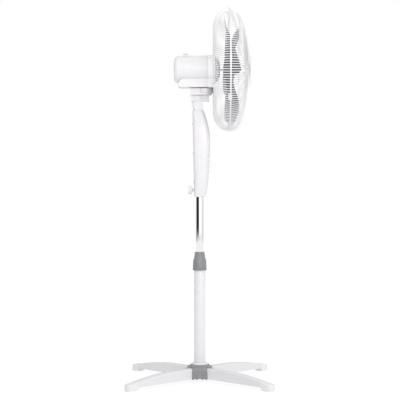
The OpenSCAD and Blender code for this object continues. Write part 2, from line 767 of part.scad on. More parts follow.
module clutch_gear() color("ivory") {
  post(clutch_x, clutch_y, 994, 1078, 3);
  gear(clutch_x, clutch_y, 1034, 1046, 9.6, 18);
  gear(clutch_x, clutch_y, 996, 1001.5, clutch_gear_r, 9);
}

module crank_gear() color("ivory") {
  gear(crank_x, crank_y, 996, 1001.5, crank_gear_r, 27);
  post(crank_x, crank_y, 1001, 1011, 4);
  post(crank_x, crank_y + crank_throw, 986.2, 997, 2.8);
}

module oscillation_knob() color("whitesmoke") {
  post(clutch_x, clutch_y, 1079, 1089, 4);
  translate([clutch_x, clutch_y, 1088]) cylinder(h = 2.6, r1 = 5, r2 = 7.5);
  post(clutch_x, clutch_y, 1090.6, 1092.4, 7.5);
}

base_hub();
leg_front_left();
leg_front_right();
leg_rear_left();
leg_rear_right();
foot_caps();
foot_soles();
leg_screws();
base_bolt();
pole_foot();
outer_pole();
pole_bush();
collet();
locking_collar();
chrome_tube();
tube_end_plug();
control_box_front();
control_box_rear();
box_screws();
switch_bank();
cord_gland();
neck_stem();
tilt_bolt();
motor_lead();
mast_knob();
button_off();
button_low();
button_medium();
button_high();
tilt_bracket();
swing_housing();
swing_bush();
link_arm();
motor_housing();
housing_ring();
lower_cover();
housing_screws();
motor_frame();
rear_bell();
front_bell();
stator_core();
stator_coils();
bearings();
gearbox_case();
capacitor();
rear_grille();
grille_nut();
front_grille();
joining_ring();
front_badge();
clip_top();
clip_near();
clip_far();
motor_shaft();
rotor_core();
propeller();
propeller_nut();
clutch_gear();
crank_gear();
oscillation_knob();
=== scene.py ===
"""Looks of a pedestal fan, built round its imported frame.

Each sub-assembly is a class: its dataclass fields are its sizes in metres, and its methods build and dress
its pieces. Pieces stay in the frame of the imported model, with their place in their mesh.
"""

import json
import logging
import math
from dataclasses import dataclass, field
from enum import Enum
from typing import Any, ClassVar, Optional, Sequence

import bmesh
import bpy
from mathutils import Matrix, Vector


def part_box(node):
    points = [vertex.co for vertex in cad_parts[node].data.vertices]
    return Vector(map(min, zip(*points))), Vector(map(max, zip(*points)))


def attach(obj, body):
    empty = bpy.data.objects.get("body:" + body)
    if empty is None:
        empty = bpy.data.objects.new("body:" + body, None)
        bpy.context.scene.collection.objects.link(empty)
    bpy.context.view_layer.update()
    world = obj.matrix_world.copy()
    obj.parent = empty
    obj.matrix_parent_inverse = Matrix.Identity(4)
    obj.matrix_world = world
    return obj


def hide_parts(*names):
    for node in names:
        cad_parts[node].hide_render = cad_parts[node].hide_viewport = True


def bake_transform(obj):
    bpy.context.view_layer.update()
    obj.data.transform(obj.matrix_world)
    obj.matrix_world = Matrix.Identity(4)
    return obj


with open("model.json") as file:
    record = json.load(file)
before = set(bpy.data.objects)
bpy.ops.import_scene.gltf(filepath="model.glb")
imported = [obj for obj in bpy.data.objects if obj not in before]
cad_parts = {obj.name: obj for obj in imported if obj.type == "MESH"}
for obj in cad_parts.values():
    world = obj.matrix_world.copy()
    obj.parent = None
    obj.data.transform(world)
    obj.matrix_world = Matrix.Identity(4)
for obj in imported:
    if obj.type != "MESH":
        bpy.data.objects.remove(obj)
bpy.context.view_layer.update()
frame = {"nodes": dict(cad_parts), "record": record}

LOG = logging.getLogger("pedestal_fan")
Point = Sequence[float]


# ---------------------------------------------------------------- shader maths


class Term:
    """A value in a material's node tree, with arithmetic that adds Math nodes."""

    def __init__(self, shader: "Shader", socket: bpy.types.NodeSocket) -> None:
        """Wraps one output socket.

        Args:
            shader: The material that the socket belongs to.
            socket: The output socket that carries the value.
        """
        self.shader = shader
        self.socket = socket

    def _math(self, operation: str, first: Any, second: Any) -> "Term":
        """Adds one Math node and returns its result."""
        node = self.shader.node("ShaderNodeMath", {"operation": operation}, {0: first, 1: second})
        return Term(self.shader, node.outputs[0])

    def __add__(self, other: Any) -> "Term":
        """Adds a value or a term."""
        return self._math("ADD", self, other)

    def __radd__(self, other: float) -> "Term":
        """Adds a term to a value."""
        return self._math("ADD", other, self)

    def __sub__(self, other: Any) -> "Term":
        """Takes away a value or a term."""
        return self._math("SUBTRACT", self, other)

    def __rsub__(self, other: float) -> "Term":
        """Takes a term away from a value."""
        return self._math("SUBTRACT", other, self)

    def __mul__(self, other: Any) -> "Term":
        """Multiplies by a value or a term."""
        return self._math("MULTIPLY", self, other)

    def __rmul__(self, other: float) -> "Term":
        """Multiplies a value by a term."""
        return self._math("MULTIPLY", other, self)

    def __gt__(self, other: Any) -> "Term":
        """Gives 1 where the term is greater, and 0 elsewhere."""
        return self._math("GREATER_THAN", self, other)


def feed(tree: bpy.types.NodeTree, socket: bpy.types.NodeSocket, value: Any) -> None:
    """Gives an input socket a number, a colour or a link.

    Args:
        tree: The tree that the socket belongs to.
        socket: The input socket.
        value: A Term, an output socket, or a plain value.
    """
    if isinstance(value, Term):
        tree.links.new(value.socket, socket)
    elif isinstance(value, bpy.types.NodeSocket):
        tree.links.new(value, socket)
    else:
        socket.default_value = value


def add_node(tree: bpy.types.NodeTree, kind: str, settings: dict[str, Any],
             inputs: dict[Any, Any]) -> bpy.types.Node:
    """Adds a node, sets its settings, then feeds its sockets.

    Args:
        tree: The tree that gets the node.
        kind: The node's type name.
        settings: Attributes of the node; "stops" are a colour ramp's (place, colour) pairs.
        inputs: Values or links, by socket name or number.

    Returns:
        The new node.
    """
    node = tree.nodes.new(kind)
    for name, value in settings.items():
        if name == "stops":
            ramp = node.color_ramp
            while len(ramp.elements) < len(value):
                ramp.elements.new(0.5)
            for element, (place, colour) in zip(ramp.elements, value):
                element.position = place
                element.color = colour
        else:
            setattr(node, name, value)
    for name, value in inputs.items():
        feed(tree, node.inputs[name], value)
    return node


class Shader:
    """One node material under construction."""

    def __init__(self, name: str) -> None:
        """Starts an empty material.

        Args:
            name: The material's name.
        """
        self.material = bpy.data.materials.new(name)
        self.material.use_nodes = True
        self.tree = self.material.node_tree
        self.tree.nodes.clear()
        self.place = self.node("ShaderNodeTexCoord", {}, {}).outputs["Object"]

    @classmethod
    def over(cls, tree: bpy.types.NodeTree, space: str) -> "Shader":
        """Works on a tree that exists already.

        Args:
            tree: The node tree.
            space: The Texture Coordinate output to use.

        Returns:
            The shader.
        """
        made = cls.__new__(cls)
        made.tree = tree
        made.place = made.node("ShaderNodeTexCoord", {}, {}).outputs[space]
        return made

    def node(self, kind: str, settings: dict[str, Any], inputs: dict[Any, Any]) -> bpy.types.Node:
        """Adds a node to the material; see add_node."""
        return add_node(self.tree, kind, settings, inputs)

    def noise(self, scale: float, detail: float = 3.0, stretch: Point = (1, 1, 1),
              roughness: float = 0.5) -> Term:
        """Noise over the piece.

        Args:
            scale: Grains in a metre.
            detail: Number of finer layers.
            stretch: Scale factor along each axis.
            roughness: Strength of the finer layers.

        Returns:
            A term from 0 to 1.
        """
        mapped = self.node("ShaderNodeMapping", {}, {"Vector": self.place, "Scale": stretch})
        made = self.node("ShaderNodeTexNoise", {"noise_dimensions": "3D"}, {
            "Vector": mapped.outputs[0], "Scale": scale, "Detail": detail, "Roughness": roughness})
        return Term(self, made.outputs[0])

    def bands(self, axis: str, scale: float, distortion: float = 0.0) -> Term:
        """Parallel waves along an axis.

        Args:
            axis: "X", "Y" or "Z".
            scale: Waves in a metre, times a fixed factor of the texture.
            distortion: How much the waves wander.

        Returns:
            A term from 0 to 1.
        """
        made = self.node("ShaderNodeTexWave", {"wave_type": "BANDS", "bands_direction": axis}, {
            "Vector": self.place, "Scale": scale, "Distortion": distortion, "Detail": 2.0})
        return Term(self, made.outputs["Fac"])

    def blend(self, factor: Any, first: Point, second: Point) -> bpy.types.NodeSocket:
        """Mixes two colours by a factor and returns the colour socket."""
        mixed = self.node("ShaderNodeMix", {"data_type": "RGBA"}, {
            "Factor": factor, 6: (*first, 1.0), 7: (*second, 1.0)})
        return mixed.outputs[2]

    def bump(self, height: Term, depth: float, strength: float = 1.0) -> bpy.types.NodeSocket:
        """Turns a height from 0 to 1 into a normal, for a relief of the given depth in metres."""
        made = self.node("ShaderNodeBump", {}, {
            "Height": height, "Distance": depth, "Strength": strength})
        return made.outputs[0]


class Texture(Enum):
    """The ways a surface of the fan was made."""

    MOULDED = "moulded"
    POWDER = "powder"
    DIPPED = "dipped"
    PLATED = "plated"
    CAST = "cast"
    STAMPED = "stamped"
    LAMINATED = "laminated"
    WOUND = "wound"
    RUBBER = "rubber"
    TINTED = "tinted"


@dataclass(frozen=True)
class Finish:
    """One finish of the fan.

    Attributes:
        name: The finish's plain name.
        slot: The record's material slot.
        colour: Linear base colour.
        shade: Linear colour of its slightly different patches.
        texture: How the surface was made.
        roughness: Mean roughness.
        spread: How far the roughness wanders.
        metallic: 1 for bare metal.
        coat: Weight of a clear glossy layer.
        relief: Depth of the fine relief, in metres.
        grain: Grains of the fine relief in a metre.
    """

    name: str
    slot: str
    colour: tuple[float, float, float]
    shade: tuple[float, float, float]
    texture: Texture
    roughness: float
    spread: float = 0.06
    metallic: float = 0.0
    coat: float = 0.0
    relief: float = 0.00003
    grain: float = 900.0
    made: ClassVar[dict[str, bpy.types.Material]] = {}

    def _height(self, shader: Shader) -> Term:
        """The surface's fine relief, from 0 to 1."""
        if self.texture is Texture.PLATED:
            return shader.noise(self.grain, 2.0, (1.0, 1.0, 0.02))
        if self.texture is Texture.LAMINATED:
            return shader.bands("X", 320.0)
        if self.texture is Texture.WOUND:
            return shader.bands("DIAGONAL", 260.0, 1.5)
        if self.texture is Texture.STAMPED:
            return shader.noise(self.grain, 3.0, (0.15, 1.0, 1.0))
        if self.texture is Texture.MOULDED:
            return shader.noise(self.grain, 2.0) * 0.6 + shader.noise(60.0, 2.0) * 0.4
        return shader.noise(self.grain, 3.0)

    def material(self) -> bpy.types.Material:
        """Builds the finish's node material once.

        Returns:
            The material.
        """
        if self.name in Finish.made:
            return Finish.made[self.name]
        shader = Shader(self.name)
        clouds = shader.noise(14.0, 4.0)
        colour = shader.blend(clouds, self.colour, self.shade)
        height = self._height(shader)
        fine = shader.noise(self.grain * 0.35, 2.0)
        roughness = (clouds * 0.6 + fine * 0.4 - 0.5) * (2.0 * self.spread) + self.roughness
        inputs = {"Base Color": colour, "Roughness": roughness, "Metallic": self.metallic,
                  "Normal": shader.bump(height, self.relief)}
        if self.coat:
            inputs |= {"Coat Weight": self.coat, "Coat Roughness": 0.08}
        if self.texture is Texture.RUBBER:
            inputs |= {"Specular IOR Level": 0.3}
        surface = shader.node("ShaderNodeBsdfPrincipled", {}, inputs)
        shader.node("ShaderNodeOutputMaterial", {}, {"Surface": surface.outputs[0]})
        Finish.made[self.name] = shader.material
        return shader.material


class Palette:
    """The finishes of the fan, by the record's material slots."""

    WHITE = Finish("white_moulding", "white_plastic", (0.715, 0.703, 0.722), (0.70, 0.688, 0.707),
                   Texture.MOULDED, 0.27, 0.05, coat=0.2, relief=0.00002, grain=1400.0)
    # Painted light: a lighter copy of the white moulding for the housing ring, to make up for the shade that
    # the cage casts on it.
    PAINTED_LIT_WHITE = Finish("white_moulding_painted_lit", "white_plastic", (0.89, 0.88, 0.90), (0.87, 0.86, 0.88),
                    Texture.MOULDED, 0.34, 0.05, relief=0.00002, grain=1400.0)
    COVER = Finish("cover_moulding", "cover_plastic", (0.735, 0.723, 0.745), (0.715, 0.703, 0.725),
                   Texture.MOULDED, 0.36, 0.05, relief=0.00003, grain=1200.0)
    BUTTON = Finish("button_moulding", "button_plastic", (0.78, 0.77, 0.79), (0.76, 0.75, 0.77),
                    Texture.MOULDED, 0.32, 0.05, relief=0.00002, grain=1200.0)
    # Painted light: the nut is far paler than the cover moulding of its slot, to make up for the shade it
    # sits in behind the ring inside the cage.
    PAINTED_LIT_NUT = Finish("nut_moulding_painted_lit", "cover_plastic", (0.93, 0.925, 0.94), (0.91, 0.905, 0.92),
                 Texture.MOULDED, 0.36, 0.05, relief=0.00003, grain=1200.0)
    GREY = Finish("grey_moulding", "grey_plastic", (0.230, 0.234, 0.250), (0.212, 0.216, 0.232),
                  Texture.MOULDED, 0.42, 0.07, relief=0.00005, grain=1000.0)
    HUB = Finish("hub_moulding", "hub_plastic", (0.25, 0.25, 0.265), (0.23, 0.23, 0.245),
                 Texture.MOULDED, 0.42, 0.07, relief=0.00006, grain=900.0)
    BLADE = Finish("smoke_blade", "blade_plastic", (0.138, 0.138, 0.152), (0.121, 0.121, 0.135),
                   Texture.TINTED, 0.28, 0.05, coat=0.2, relief=0.00002, grain=700.0)
    GEAR = Finish("natural_acetal", "gear_plastic", (0.66, 0.63, 0.54), (0.62, 0.59, 0.50),
                  Texture.MOULDED, 0.4, 0.05)
    LEG = Finish("leg_powder_coat", "leg_paint", (0.705, 0.695, 0.715), (0.68, 0.67, 0.69),
                 Texture.POWDER, 0.32, 0.06, coat=0.1, relief=0.00002, grain=520.0)
    # Painted light: a slightly lighter copy of the white moulding for the feet, to lift the shade that falls
    # under the legs.
    PAINTED_LIT_FOOT = Finish("foot_moulding_painted_lit", "white_plastic", (0.745, 0.735, 0.755), (0.725, 0.715, 0.735),
                  Texture.MOULDED, 0.34, 0.05, coat=0.1, relief=0.00003, grain=1200.0)
    POLE = Finish("pole_powder_coat", "pole_paint", (0.735, 0.725, 0.745), (0.71, 0.70, 0.72),
                  Texture.POWDER, 0.30, 0.05, coat=0.15, relief=0.000015, grain=520.0)
    WIRE = Finish("wire_dip_coat", "wire_paint", (0.95, 0.945, 0.96), (0.93, 0.925, 0.94),
                  Texture.DIPPED, 0.26, 0.05, coat=0.2, relief=0.00004, grain=420.0)
    CHROME = Finish("chrome_plating", "chrome_plate", (0.88, 0.88, 0.89), (0.85, 0.85, 0.86),
                    Texture.PLATED, 0.05, 0.02, metallic=1.0, relief=0.000002, grain=2200.0)
    STEEL = Finish("zinc_plating", "steel", (0.56, 0.56, 0.58), (0.50, 0.50, 0.52),
                   Texture.STAMPED, 0.34, 0.08, metallic=1.0, relief=0.00002, grain=1500.0)
    CAST = Finish("cast_alloy", "cast_metal", (0.52, 0.53, 0.54), (0.46, 0.47, 0.48),
                  Texture.CAST, 0.55, 0.1, metallic=0.9, relief=0.00012, grain=700.0)
    LAMINATION = Finish("stacked_laminations", "lamination", (0.30, 0.30, 0.32), (0.24, 0.24, 0.26),
                        Texture.LAMINATED, 0.5, 0.08, metallic=0.8, relief=0.0001)
    COPPER = Finish("enamelled_copper", "copper", (0.60, 0.25, 0.10), (0.52, 0.21, 0.08),
                    Texture.WOUND, 0.35, 0.06, metallic=0.8, relief=0.0002)
    BRONZE = Finish("sintered_bronze", "bronze", (0.52, 0.36, 0.17), (0.46, 0.31, 0.14),
                    Texture.CAST, 0.5, 0.08, metallic=0.9, relief=0.00006, grain=1600.0)
    SOLE = Finish("sole_rubber", "sole_rubber", (0.84, 0.84, 0.86), (0.81, 0.81, 0.83),
                  Texture.RUBBER, 0.7, 0.06, relief=0.0001, grain=600.0)
    LEAD = Finish("lead_sheath", "lead_rubber", (0.82, 0.81, 0.83), (0.78, 0.77, 0.79),
                  Texture.RUBBER, 0.45, 0.05, relief=0.00004, grain=900.0)


# ---------------------------------------------------------------- mesh work


def dressed(name: str, mesh: bpy.types.Mesh, finish: Finish, sharp: float = 32.0) -> bpy.types.Object:
    """Makes a shown object of a mesh, with smooth shading between its sharp edges.

    Args:
        name: The piece's name.
        mesh: The finished mesh.
        finish: Its finish.
        sharp: Angle in degrees above which an edge stays sharp.

    Returns:
        The new object, at the origin.
    """
    mesh.name = name
    mesh.materials.clear()
    mesh.materials.append(finish.material())
    mesh.shade_smooth()
    mesh.set_sharp_from_angle(angle=math.radians(sharp))
    made = bpy.data.objects.new(name, mesh)
    bpy.context.scene.collection.objects.link(made)
    return made


def place(piece: bpy.types.Object, finish: Finish, body: str, *nodes: str) -> bpy.types.Object:
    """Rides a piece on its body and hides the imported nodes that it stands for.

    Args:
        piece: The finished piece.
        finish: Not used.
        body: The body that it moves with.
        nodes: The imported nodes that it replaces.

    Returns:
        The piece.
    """
    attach(piece, body)
    if nodes:
        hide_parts(*nodes)
    LOG.info("%s rides on %s", piece.name, body)
    return piece


def mesh_of(points: Sequence[Point], faces: Sequence[Sequence[int]]) -> bpy.types.Mesh:
    """A clean mesh with merged points and outward faces.

    Args:
        points: Vertex places.
        faces: Vertex numbers of each face.

    Returns:
        The mesh.
    """
    shape = bmesh.new()
    corners = [shape.verts.new(p) for p in points]
    for face in faces:
        try:
            shape.faces.new([corners[k] for k in face])
        except ValueError:
            continue
    bmesh.ops.remove_doubles(shape, verts=shape.verts, dist=1e-6)
    bmesh.ops.recalc_face_normals(shape, faces=shape.faces)
    mesh = bpy.data.meshes.new("piece")
    shape.to_mesh(mesh)
    shape.free()
    return mesh


def rounded(outline: Sequence[Point], radius: float, steps: int = 4, closed: bool = True) -> list[Vector]:
    """Rounds the corners of a flat outline.

    Args:
        outline: Corners in order.
        radius: Radius of each rounded corner, made smaller where a side is short.
        steps: Segments in each corner.
        closed: Whether the last corner joins the first.

    Returns:
        The rounded outline.
    """
    corners = [Vector(p) for p in outline]
    made: list[Vector] = []
    count = len(corners)
    for k, corner in enumerate(corners):
        if not closed and k in (0, count - 1):
            made.append(corner)
            continue
        back = corners[k - 1] - corner
        ahead = corners[(k + 1) % count] - corner
        bend = back.angle(ahead)
        reach = min(radius / max(math.tan(bend / 2), 1e-3), back.length * 0.45, ahead.length * 0.45)
        start = corner + back.normalized() * reach
        end = corner + ahead.normalized() * reach
        for i in range(steps + 1):
            t = i / steps
            made.append(start * (1 - t) ** 2 + corner * (2 * t * (1 - t)) + end * t ** 2)
    return made


def lathe(profile: Sequence[Point], centre: Point, axis: str = "Z", segments: int = 72,
          closed: bool = True) -> bpy.types.Mesh:
    """Turns a profile of (radius, height) pairs round an axis.

    Args:
        profile: Points of the profile.
        centre: A point on the axis; heights are measured from it.
        axis: "Z", "X" or "-X", the way that heights grow.
        segments: Number of sides.
        closed: Whether the profile's last point joins its first.

    Returns:
        The closed mesh.
    """
    turn = {"Z": Matrix.Identity(3), "X": Matrix(((0, 0, 1), (0, 1, 0), (-1, 0, 0))),
            "-X": Matrix(((0, 0, -1), (0, 1, 0), (1, 0, 0)))}[axis]
    points = []
    for k in range(segments):
        a = 2 * math.pi * k / segments
        for r, h in profile:
            points.append(Vector(centre) + turn @ Vector((r * math.cos(a), r * math.sin(a), h)))
    n = len(profile)
    last = n if closed else n - 1
    faces = []
    for k in range(segments):
        j = (k + 1) % segments
        for i in range(last):
            m = (i + 1) % n
            if profile[i][0] < 1e-9 and profile[m][0] < 1e-9:
                continue
            if profile[i][0] < 1e-9:
                faces.append((k * n + i, j * n + m, k * n + m))
            elif profile[m][0] < 1e-9:
                faces.append((k * n + i, j * n + i, k * n + m))
            else:
                faces.append((k * n + i, j * n + i, j * n + m, k * n + m))
    return mesh_of(points, faces)


def loft(sections: Sequence[Sequence[Point]]) -> bpy.types.Mesh:
    """Joins closed sections of equal length into a closed solid.

    Args:
        sections: The loops, in order.

    Returns:
        The mesh.
    """
    n = len(sections[0])
    points = [p for section in sections for p in section]
    faces: list[Sequence[int]] = [tuple(range(n))]
    for k in range(len(sections) - 1):
        for i in range(n):
            j = (i + 1) % n
            faces.append((k * n + i, k * n + j, (k + 1) * n + j, (k + 1) * n + i))
    faces.append(tuple(range((len(sections) - 1) * n, len(sections) * n)))
    return mesh_of(points, faces)


def joined(meshes: Sequence[bpy.types.Mesh]) -> bpy.types.Mesh:
    """One mesh out of several."""
    shape = bmesh.new()
    for mesh in meshes:
        shape.from_mesh(mesh)
    made = bpy.data.meshes.new("piece")
    shape.to_mesh(made)
    shape.free()
    return made


def finished(base: bpy.types.Object) -> bpy.types.Mesh:
    """The mesh of an object with its modifiers applied; the object is removed."""
    depsgraph = bpy.context.evaluated_depsgraph_get()
    depsgraph.update()
    mesh = bpy.data.meshes.new_from_object(base.evaluated_get(depsgraph))
    bpy.data.objects.remove(base)
    return mesh


def scratch(mesh: bpy.types.Mesh) -> bpy.types.Object:
    """An object for modifiers to work on, to be removed by finished()."""
    made = bpy.data.objects.new("scratch", mesh)
    bpy.context.scene.collection.objects.link(made)
    return made


def carved(mesh: bpy.types.Mesh, tool: bpy.types.Mesh, operation: str) -> bpy.types.Mesh:
    """Cuts a mesh with another.

    Args:
        mesh: The mesh to cut.
        tool: The cutting mesh.
        operation: "DIFFERENCE" or "INTERSECT".

    Returns:
        The cut mesh.
    """
    base = scratch(mesh.copy())
    cutter = scratch(tool.copy())
    cut = base.modifiers.new("cut", "BOOLEAN")
    cut.operation = operation
    cut.solver = "EXACT"
    cut.object = cutter
    made = finished(base)
    bpy.data.objects.remove(cutter)
    return made


def refined(node: str) -> bpy.types.Mesh:
    """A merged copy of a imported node, with its flat faces whole again."""
    shape = bmesh.new()
    shape.from_mesh(frame["nodes"][node].data)
    bmesh.ops.remove_doubles(shape, verts=shape.verts, dist=2e-6)
    bmesh.ops.dissolve_limit(shape, angle_limit=math.radians(0.6), use_dissolve_boundaries=False,
                             verts=shape.verts, edges=shape.edges)
    mesh = bpy.data.meshes.new(node)
    shape.to_mesh(mesh)
    shape.free()
    return mesh


def broken_edges(piece: bpy.types.Object, width: float, segments: int = 2, angle: float = 38.0) -> None:
    """Gives a piece small rounded edges.

    Args:
        piece: The object.
        width: Width of the rounding in metres.
        segments: Segments across it.
        angle: Only edges sharper than this, in degrees, are rounded.
    """
    bevel = piece.modifiers.new("broken_edges", "BEVEL")
    bevel.width = width
    bevel.segments = segments
    bevel.limit_method = "ANGLE"
    bevel.angle_limit = math.radians(angle)
    bevel.harden_normals = True
    bevel.use_clamp_overlap = True


def refined_piece(node: str, finish: Finish, width: float, name: Optional[str] = None) -> bpy.types.Object:
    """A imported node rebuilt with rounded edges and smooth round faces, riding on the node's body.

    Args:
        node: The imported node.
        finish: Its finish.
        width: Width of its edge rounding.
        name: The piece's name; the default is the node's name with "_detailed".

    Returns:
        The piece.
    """
    piece = dressed(name or f"{node}_detailed", refined(node), finish)
    if width:
        broken_edges(piece, width)
    return place(piece, finish, BODY_OF[node], node)


BODY_OF: dict[str, str] = {
    node: body for body, nodes in frame["record"]["behaviour"]["bodies"].items() for node in nodes}


# ---------------------------------------------------------------- geometry nodes


class GeoTree:
    """One Geometry Nodes tree under construction."""

    def __init__(self, name: str, inputs: dict[str, tuple[str, Any]]) -> None:
        """Starts a tree with named inputs.

        Args:
            name: The tree's name.
            inputs: For each input's name, its socket type and default value.
        """
        self.tree = bpy.data.node_groups.new(name, "GeometryNodeTree")
        face = self.tree.interface
        face.new_socket("Geometry", in_out="INPUT", socket_type="NodeSocketGeometry")
        face.new_socket("Geometry", in_out="OUTPUT", socket_type="NodeSocketGeometry")
        for label, (kind, default) in inputs.items():
            made = face.new_socket(label, in_out="INPUT", socket_type=kind)
            if default is not None:
                made.default_value = default
        self.given = self.tree.nodes.new("NodeGroupInput").outputs

    def node(self, kind: str, settings: dict[str, Any], inputs: dict[Any, Any]) -> bpy.types.Node:
        """Adds a node to the tree; see add_node."""
        return add_node(self.tree, kind, settings, inputs)

    def close(self, geometry: bpy.types.NodeSocket) -> None:
        """Realizes instances, shades smooth, sets the material and ends the tree.

        Args:
            geometry: The geometry to finish.
        """
        real = self.node("GeometryNodeRealizeInstances", {}, {"Geometry": geometry})
        smooth = self.node("GeometryNodeSetShadeSmooth", {}, {"Geometry": real.outputs[0]})
        painted = self.node("GeometryNodeSetMaterial", {}, {
            "Geometry": smooth.outputs[0], "Material": self.given["Finish"]})
        self.node("NodeGroupOutput", {}, {"Geometry": painted.outputs[0]})

    def run(self, base: bpy.types.Mesh, values: dict[str, Any]) -> bpy.types.Mesh:
        """Runs the tree on a mesh.

        Args:
            base: The mesh that the tree starts from.
            values: Values of the named inputs.

        Returns:
            The plain result.
        """
        holder = scratch(base)
        modifier = holder.modifiers.new("repeat", "NODES")
        modifier.node_group = self.tree
        for item in self.tree.interface.items_tree:
            if item.in_out == "INPUT" and item.name in values:
                modifier[item.identifier] = values[item.name]
        return finished(holder)


def wire_tree() -> GeoTree:
    """A tree that sweeps a wire along the input's edges and repeats it round the X axis.

    Returns:
        The tree.
    """
    made = GeoTree("wires_round_axis", {
        "Count": ("NodeSocketInt", 12), "Wire Radius": ("NodeSocketFloat", 0.001),
        "Sides": ("NodeSocketInt", 6), "Centre": ("NodeSocketVector", None),
        "Finish": ("NodeSocketMaterial", None)})
    given = made.given
    curve = made.node("GeometryNodeMeshToCurve", {}, {"Mesh": given["Geometry"]})
    round_section = made.node("GeometryNodeCurvePrimitiveCircle", {}, {
        "Resolution": given["Sides"], "Radius": given["Wire Radius"]})
    wire = made.node("GeometryNodeCurveToMesh", {}, {
        "Curve": curve.outputs[0], "Profile Curve": round_section.outputs[0], "Fill Caps": True})
    made.close(round_the_axis(made, wire.outputs[0]))
    return made


def round_the_axis(made: GeoTree, solid: bpy.types.NodeSocket) -> bpy.types.NodeSocket:
    """Adds the nodes that repeat a solid, made about the origin, evenly round the X axis.

    Args:
        made: The tree, with inputs Count and Centre.
        solid: The geometry to repeat.

    Returns:
        The repeated instances.
    """
    given = made.given
    index = made.node("GeometryNodeInputIndex", {}, {})
    share = made.node("ShaderNodeMath", {"operation": "DIVIDE"}, {
        0: index.outputs[0], 1: given["Count"]})
    angle = made.node("ShaderNodeMath", {"operation": "MULTIPLY"}, {0: share.outputs[0], 1: 2 * math.pi})
    turn = made.node("ShaderNodeCombineXYZ", {}, {"X": angle.outputs[0]})
    spots = made.node("GeometryNodePoints", {}, {"Count": given["Count"], "Position": given["Centre"]})
    placed = made.node("GeometryNodeInstanceOnPoints", {}, {
        "Points": spots.outputs[0], "Instance": solid, "Rotation": turn.outputs[0]})
    return placed.outputs[0]


def sleeve_tree() -> GeoTree:
    """A tree that sets round ribs along the input's edges, over a smooth core.

    Returns:
        The tree.
    """
    made = GeoTree("ribs_along_path", {
        "Ribs": ("NodeSocketInt", 6), "Rib Radius": ("NodeSocketFloat", 0.004),
        "Rib Width": ("NodeSocketFloat", 0.001), "Core Radius": ("NodeSocketFloat", 0.003),
        "Finish": ("NodeSocketMaterial", None)})
    given = made.given

    def circle(steps: int, radius: Any) -> bpy.types.Node:
        """A circle in the tree."""
        return made.node("GeometryNodeCurvePrimitiveCircle", {}, {"Resolution": steps, "Radius": radius})

    curve = made.node("GeometryNodeMeshToCurve", {}, {"Mesh": given["Geometry"]})
    section = circle(24, given["Core Radius"])
    core = made.node("GeometryNodeCurveToMesh", {}, {
        "Curve": curve.outputs[0], "Profile Curve": section.outputs[0], "Fill Caps": True})
    spots = made.node("GeometryNodeCurveToPoints", {"mode": "COUNT"}, {
        "Curve": curve.outputs[0], "Count": given["Ribs"]})
    path, rim = circle(24, given["Rib Radius"]), circle(8, given["Rib Width"])
    ring = made.node("GeometryNodeCurveToMesh", {}, {
        "Curve": path.outputs[0], "Profile Curve": rim.outputs[0]})
    ribs = made.node("GeometryNodeInstanceOnPoints", {}, {
        "Points": spots.outputs["Points"], "Rotation": spots.outputs["Rotation"],
        "Instance": ring.outputs[0]})
    both = made.node("GeometryNodeJoinGeometry", {}, {})
    for part in (core, ribs):
        made.tree.links.new(part.outputs[0], both.inputs[0])
    made.close(both.outputs[0])
    return made


def polyline(points: Sequence[Point]) -> bpy.types.Mesh:
    """A mesh of edges through points."""
    mesh = bpy.data.meshes.new("line")
    mesh.from_pydata([tuple(p) for p in points], [(k, k + 1) for k in range(len(points) - 1)], [])
    return mesh


def smooth_curve(points: Sequence[Point], steps: int) -> list[Vector]:
    """A smooth curve through points.

    Args:
        points: The points, in order.
        steps: Pieces between two of them.

    Returns:
        The curve's points.
    """
    known = [Vector(p) for p in points]
    made = []
    for i in range(len(known) - 1):
        a, b = known[max(i - 1, 0)], known[i]
        c, d = known[i + 1], known[min(i + 2, len(known) - 1)]
        for k in range(steps):
            t = k / steps
            bend = (2 * a - 5 * b + 4 * c - d) + t * (3 * (b - c) + d - a)
            made.append(b + 0.5 * t * ((c - a) + t * bend))
    made.append(known[-1])
    return made


def value_at(table: Sequence[Point], x: float) -> float:
    """Reads a smooth curve of (x, y) pairs, in growing x, at one x."""
    if x <= table[0][0]:
        return table[0][1]
    for first, second in zip(table, table[1:]):
        if x <= second[0]:
            t = (x - first[0]) / (second[0] - first[0])
            return first[1] * (1 - t) + second[1] * t
    return table[-1][1]


# ---------------------------------------------------------------- sub-assemblies


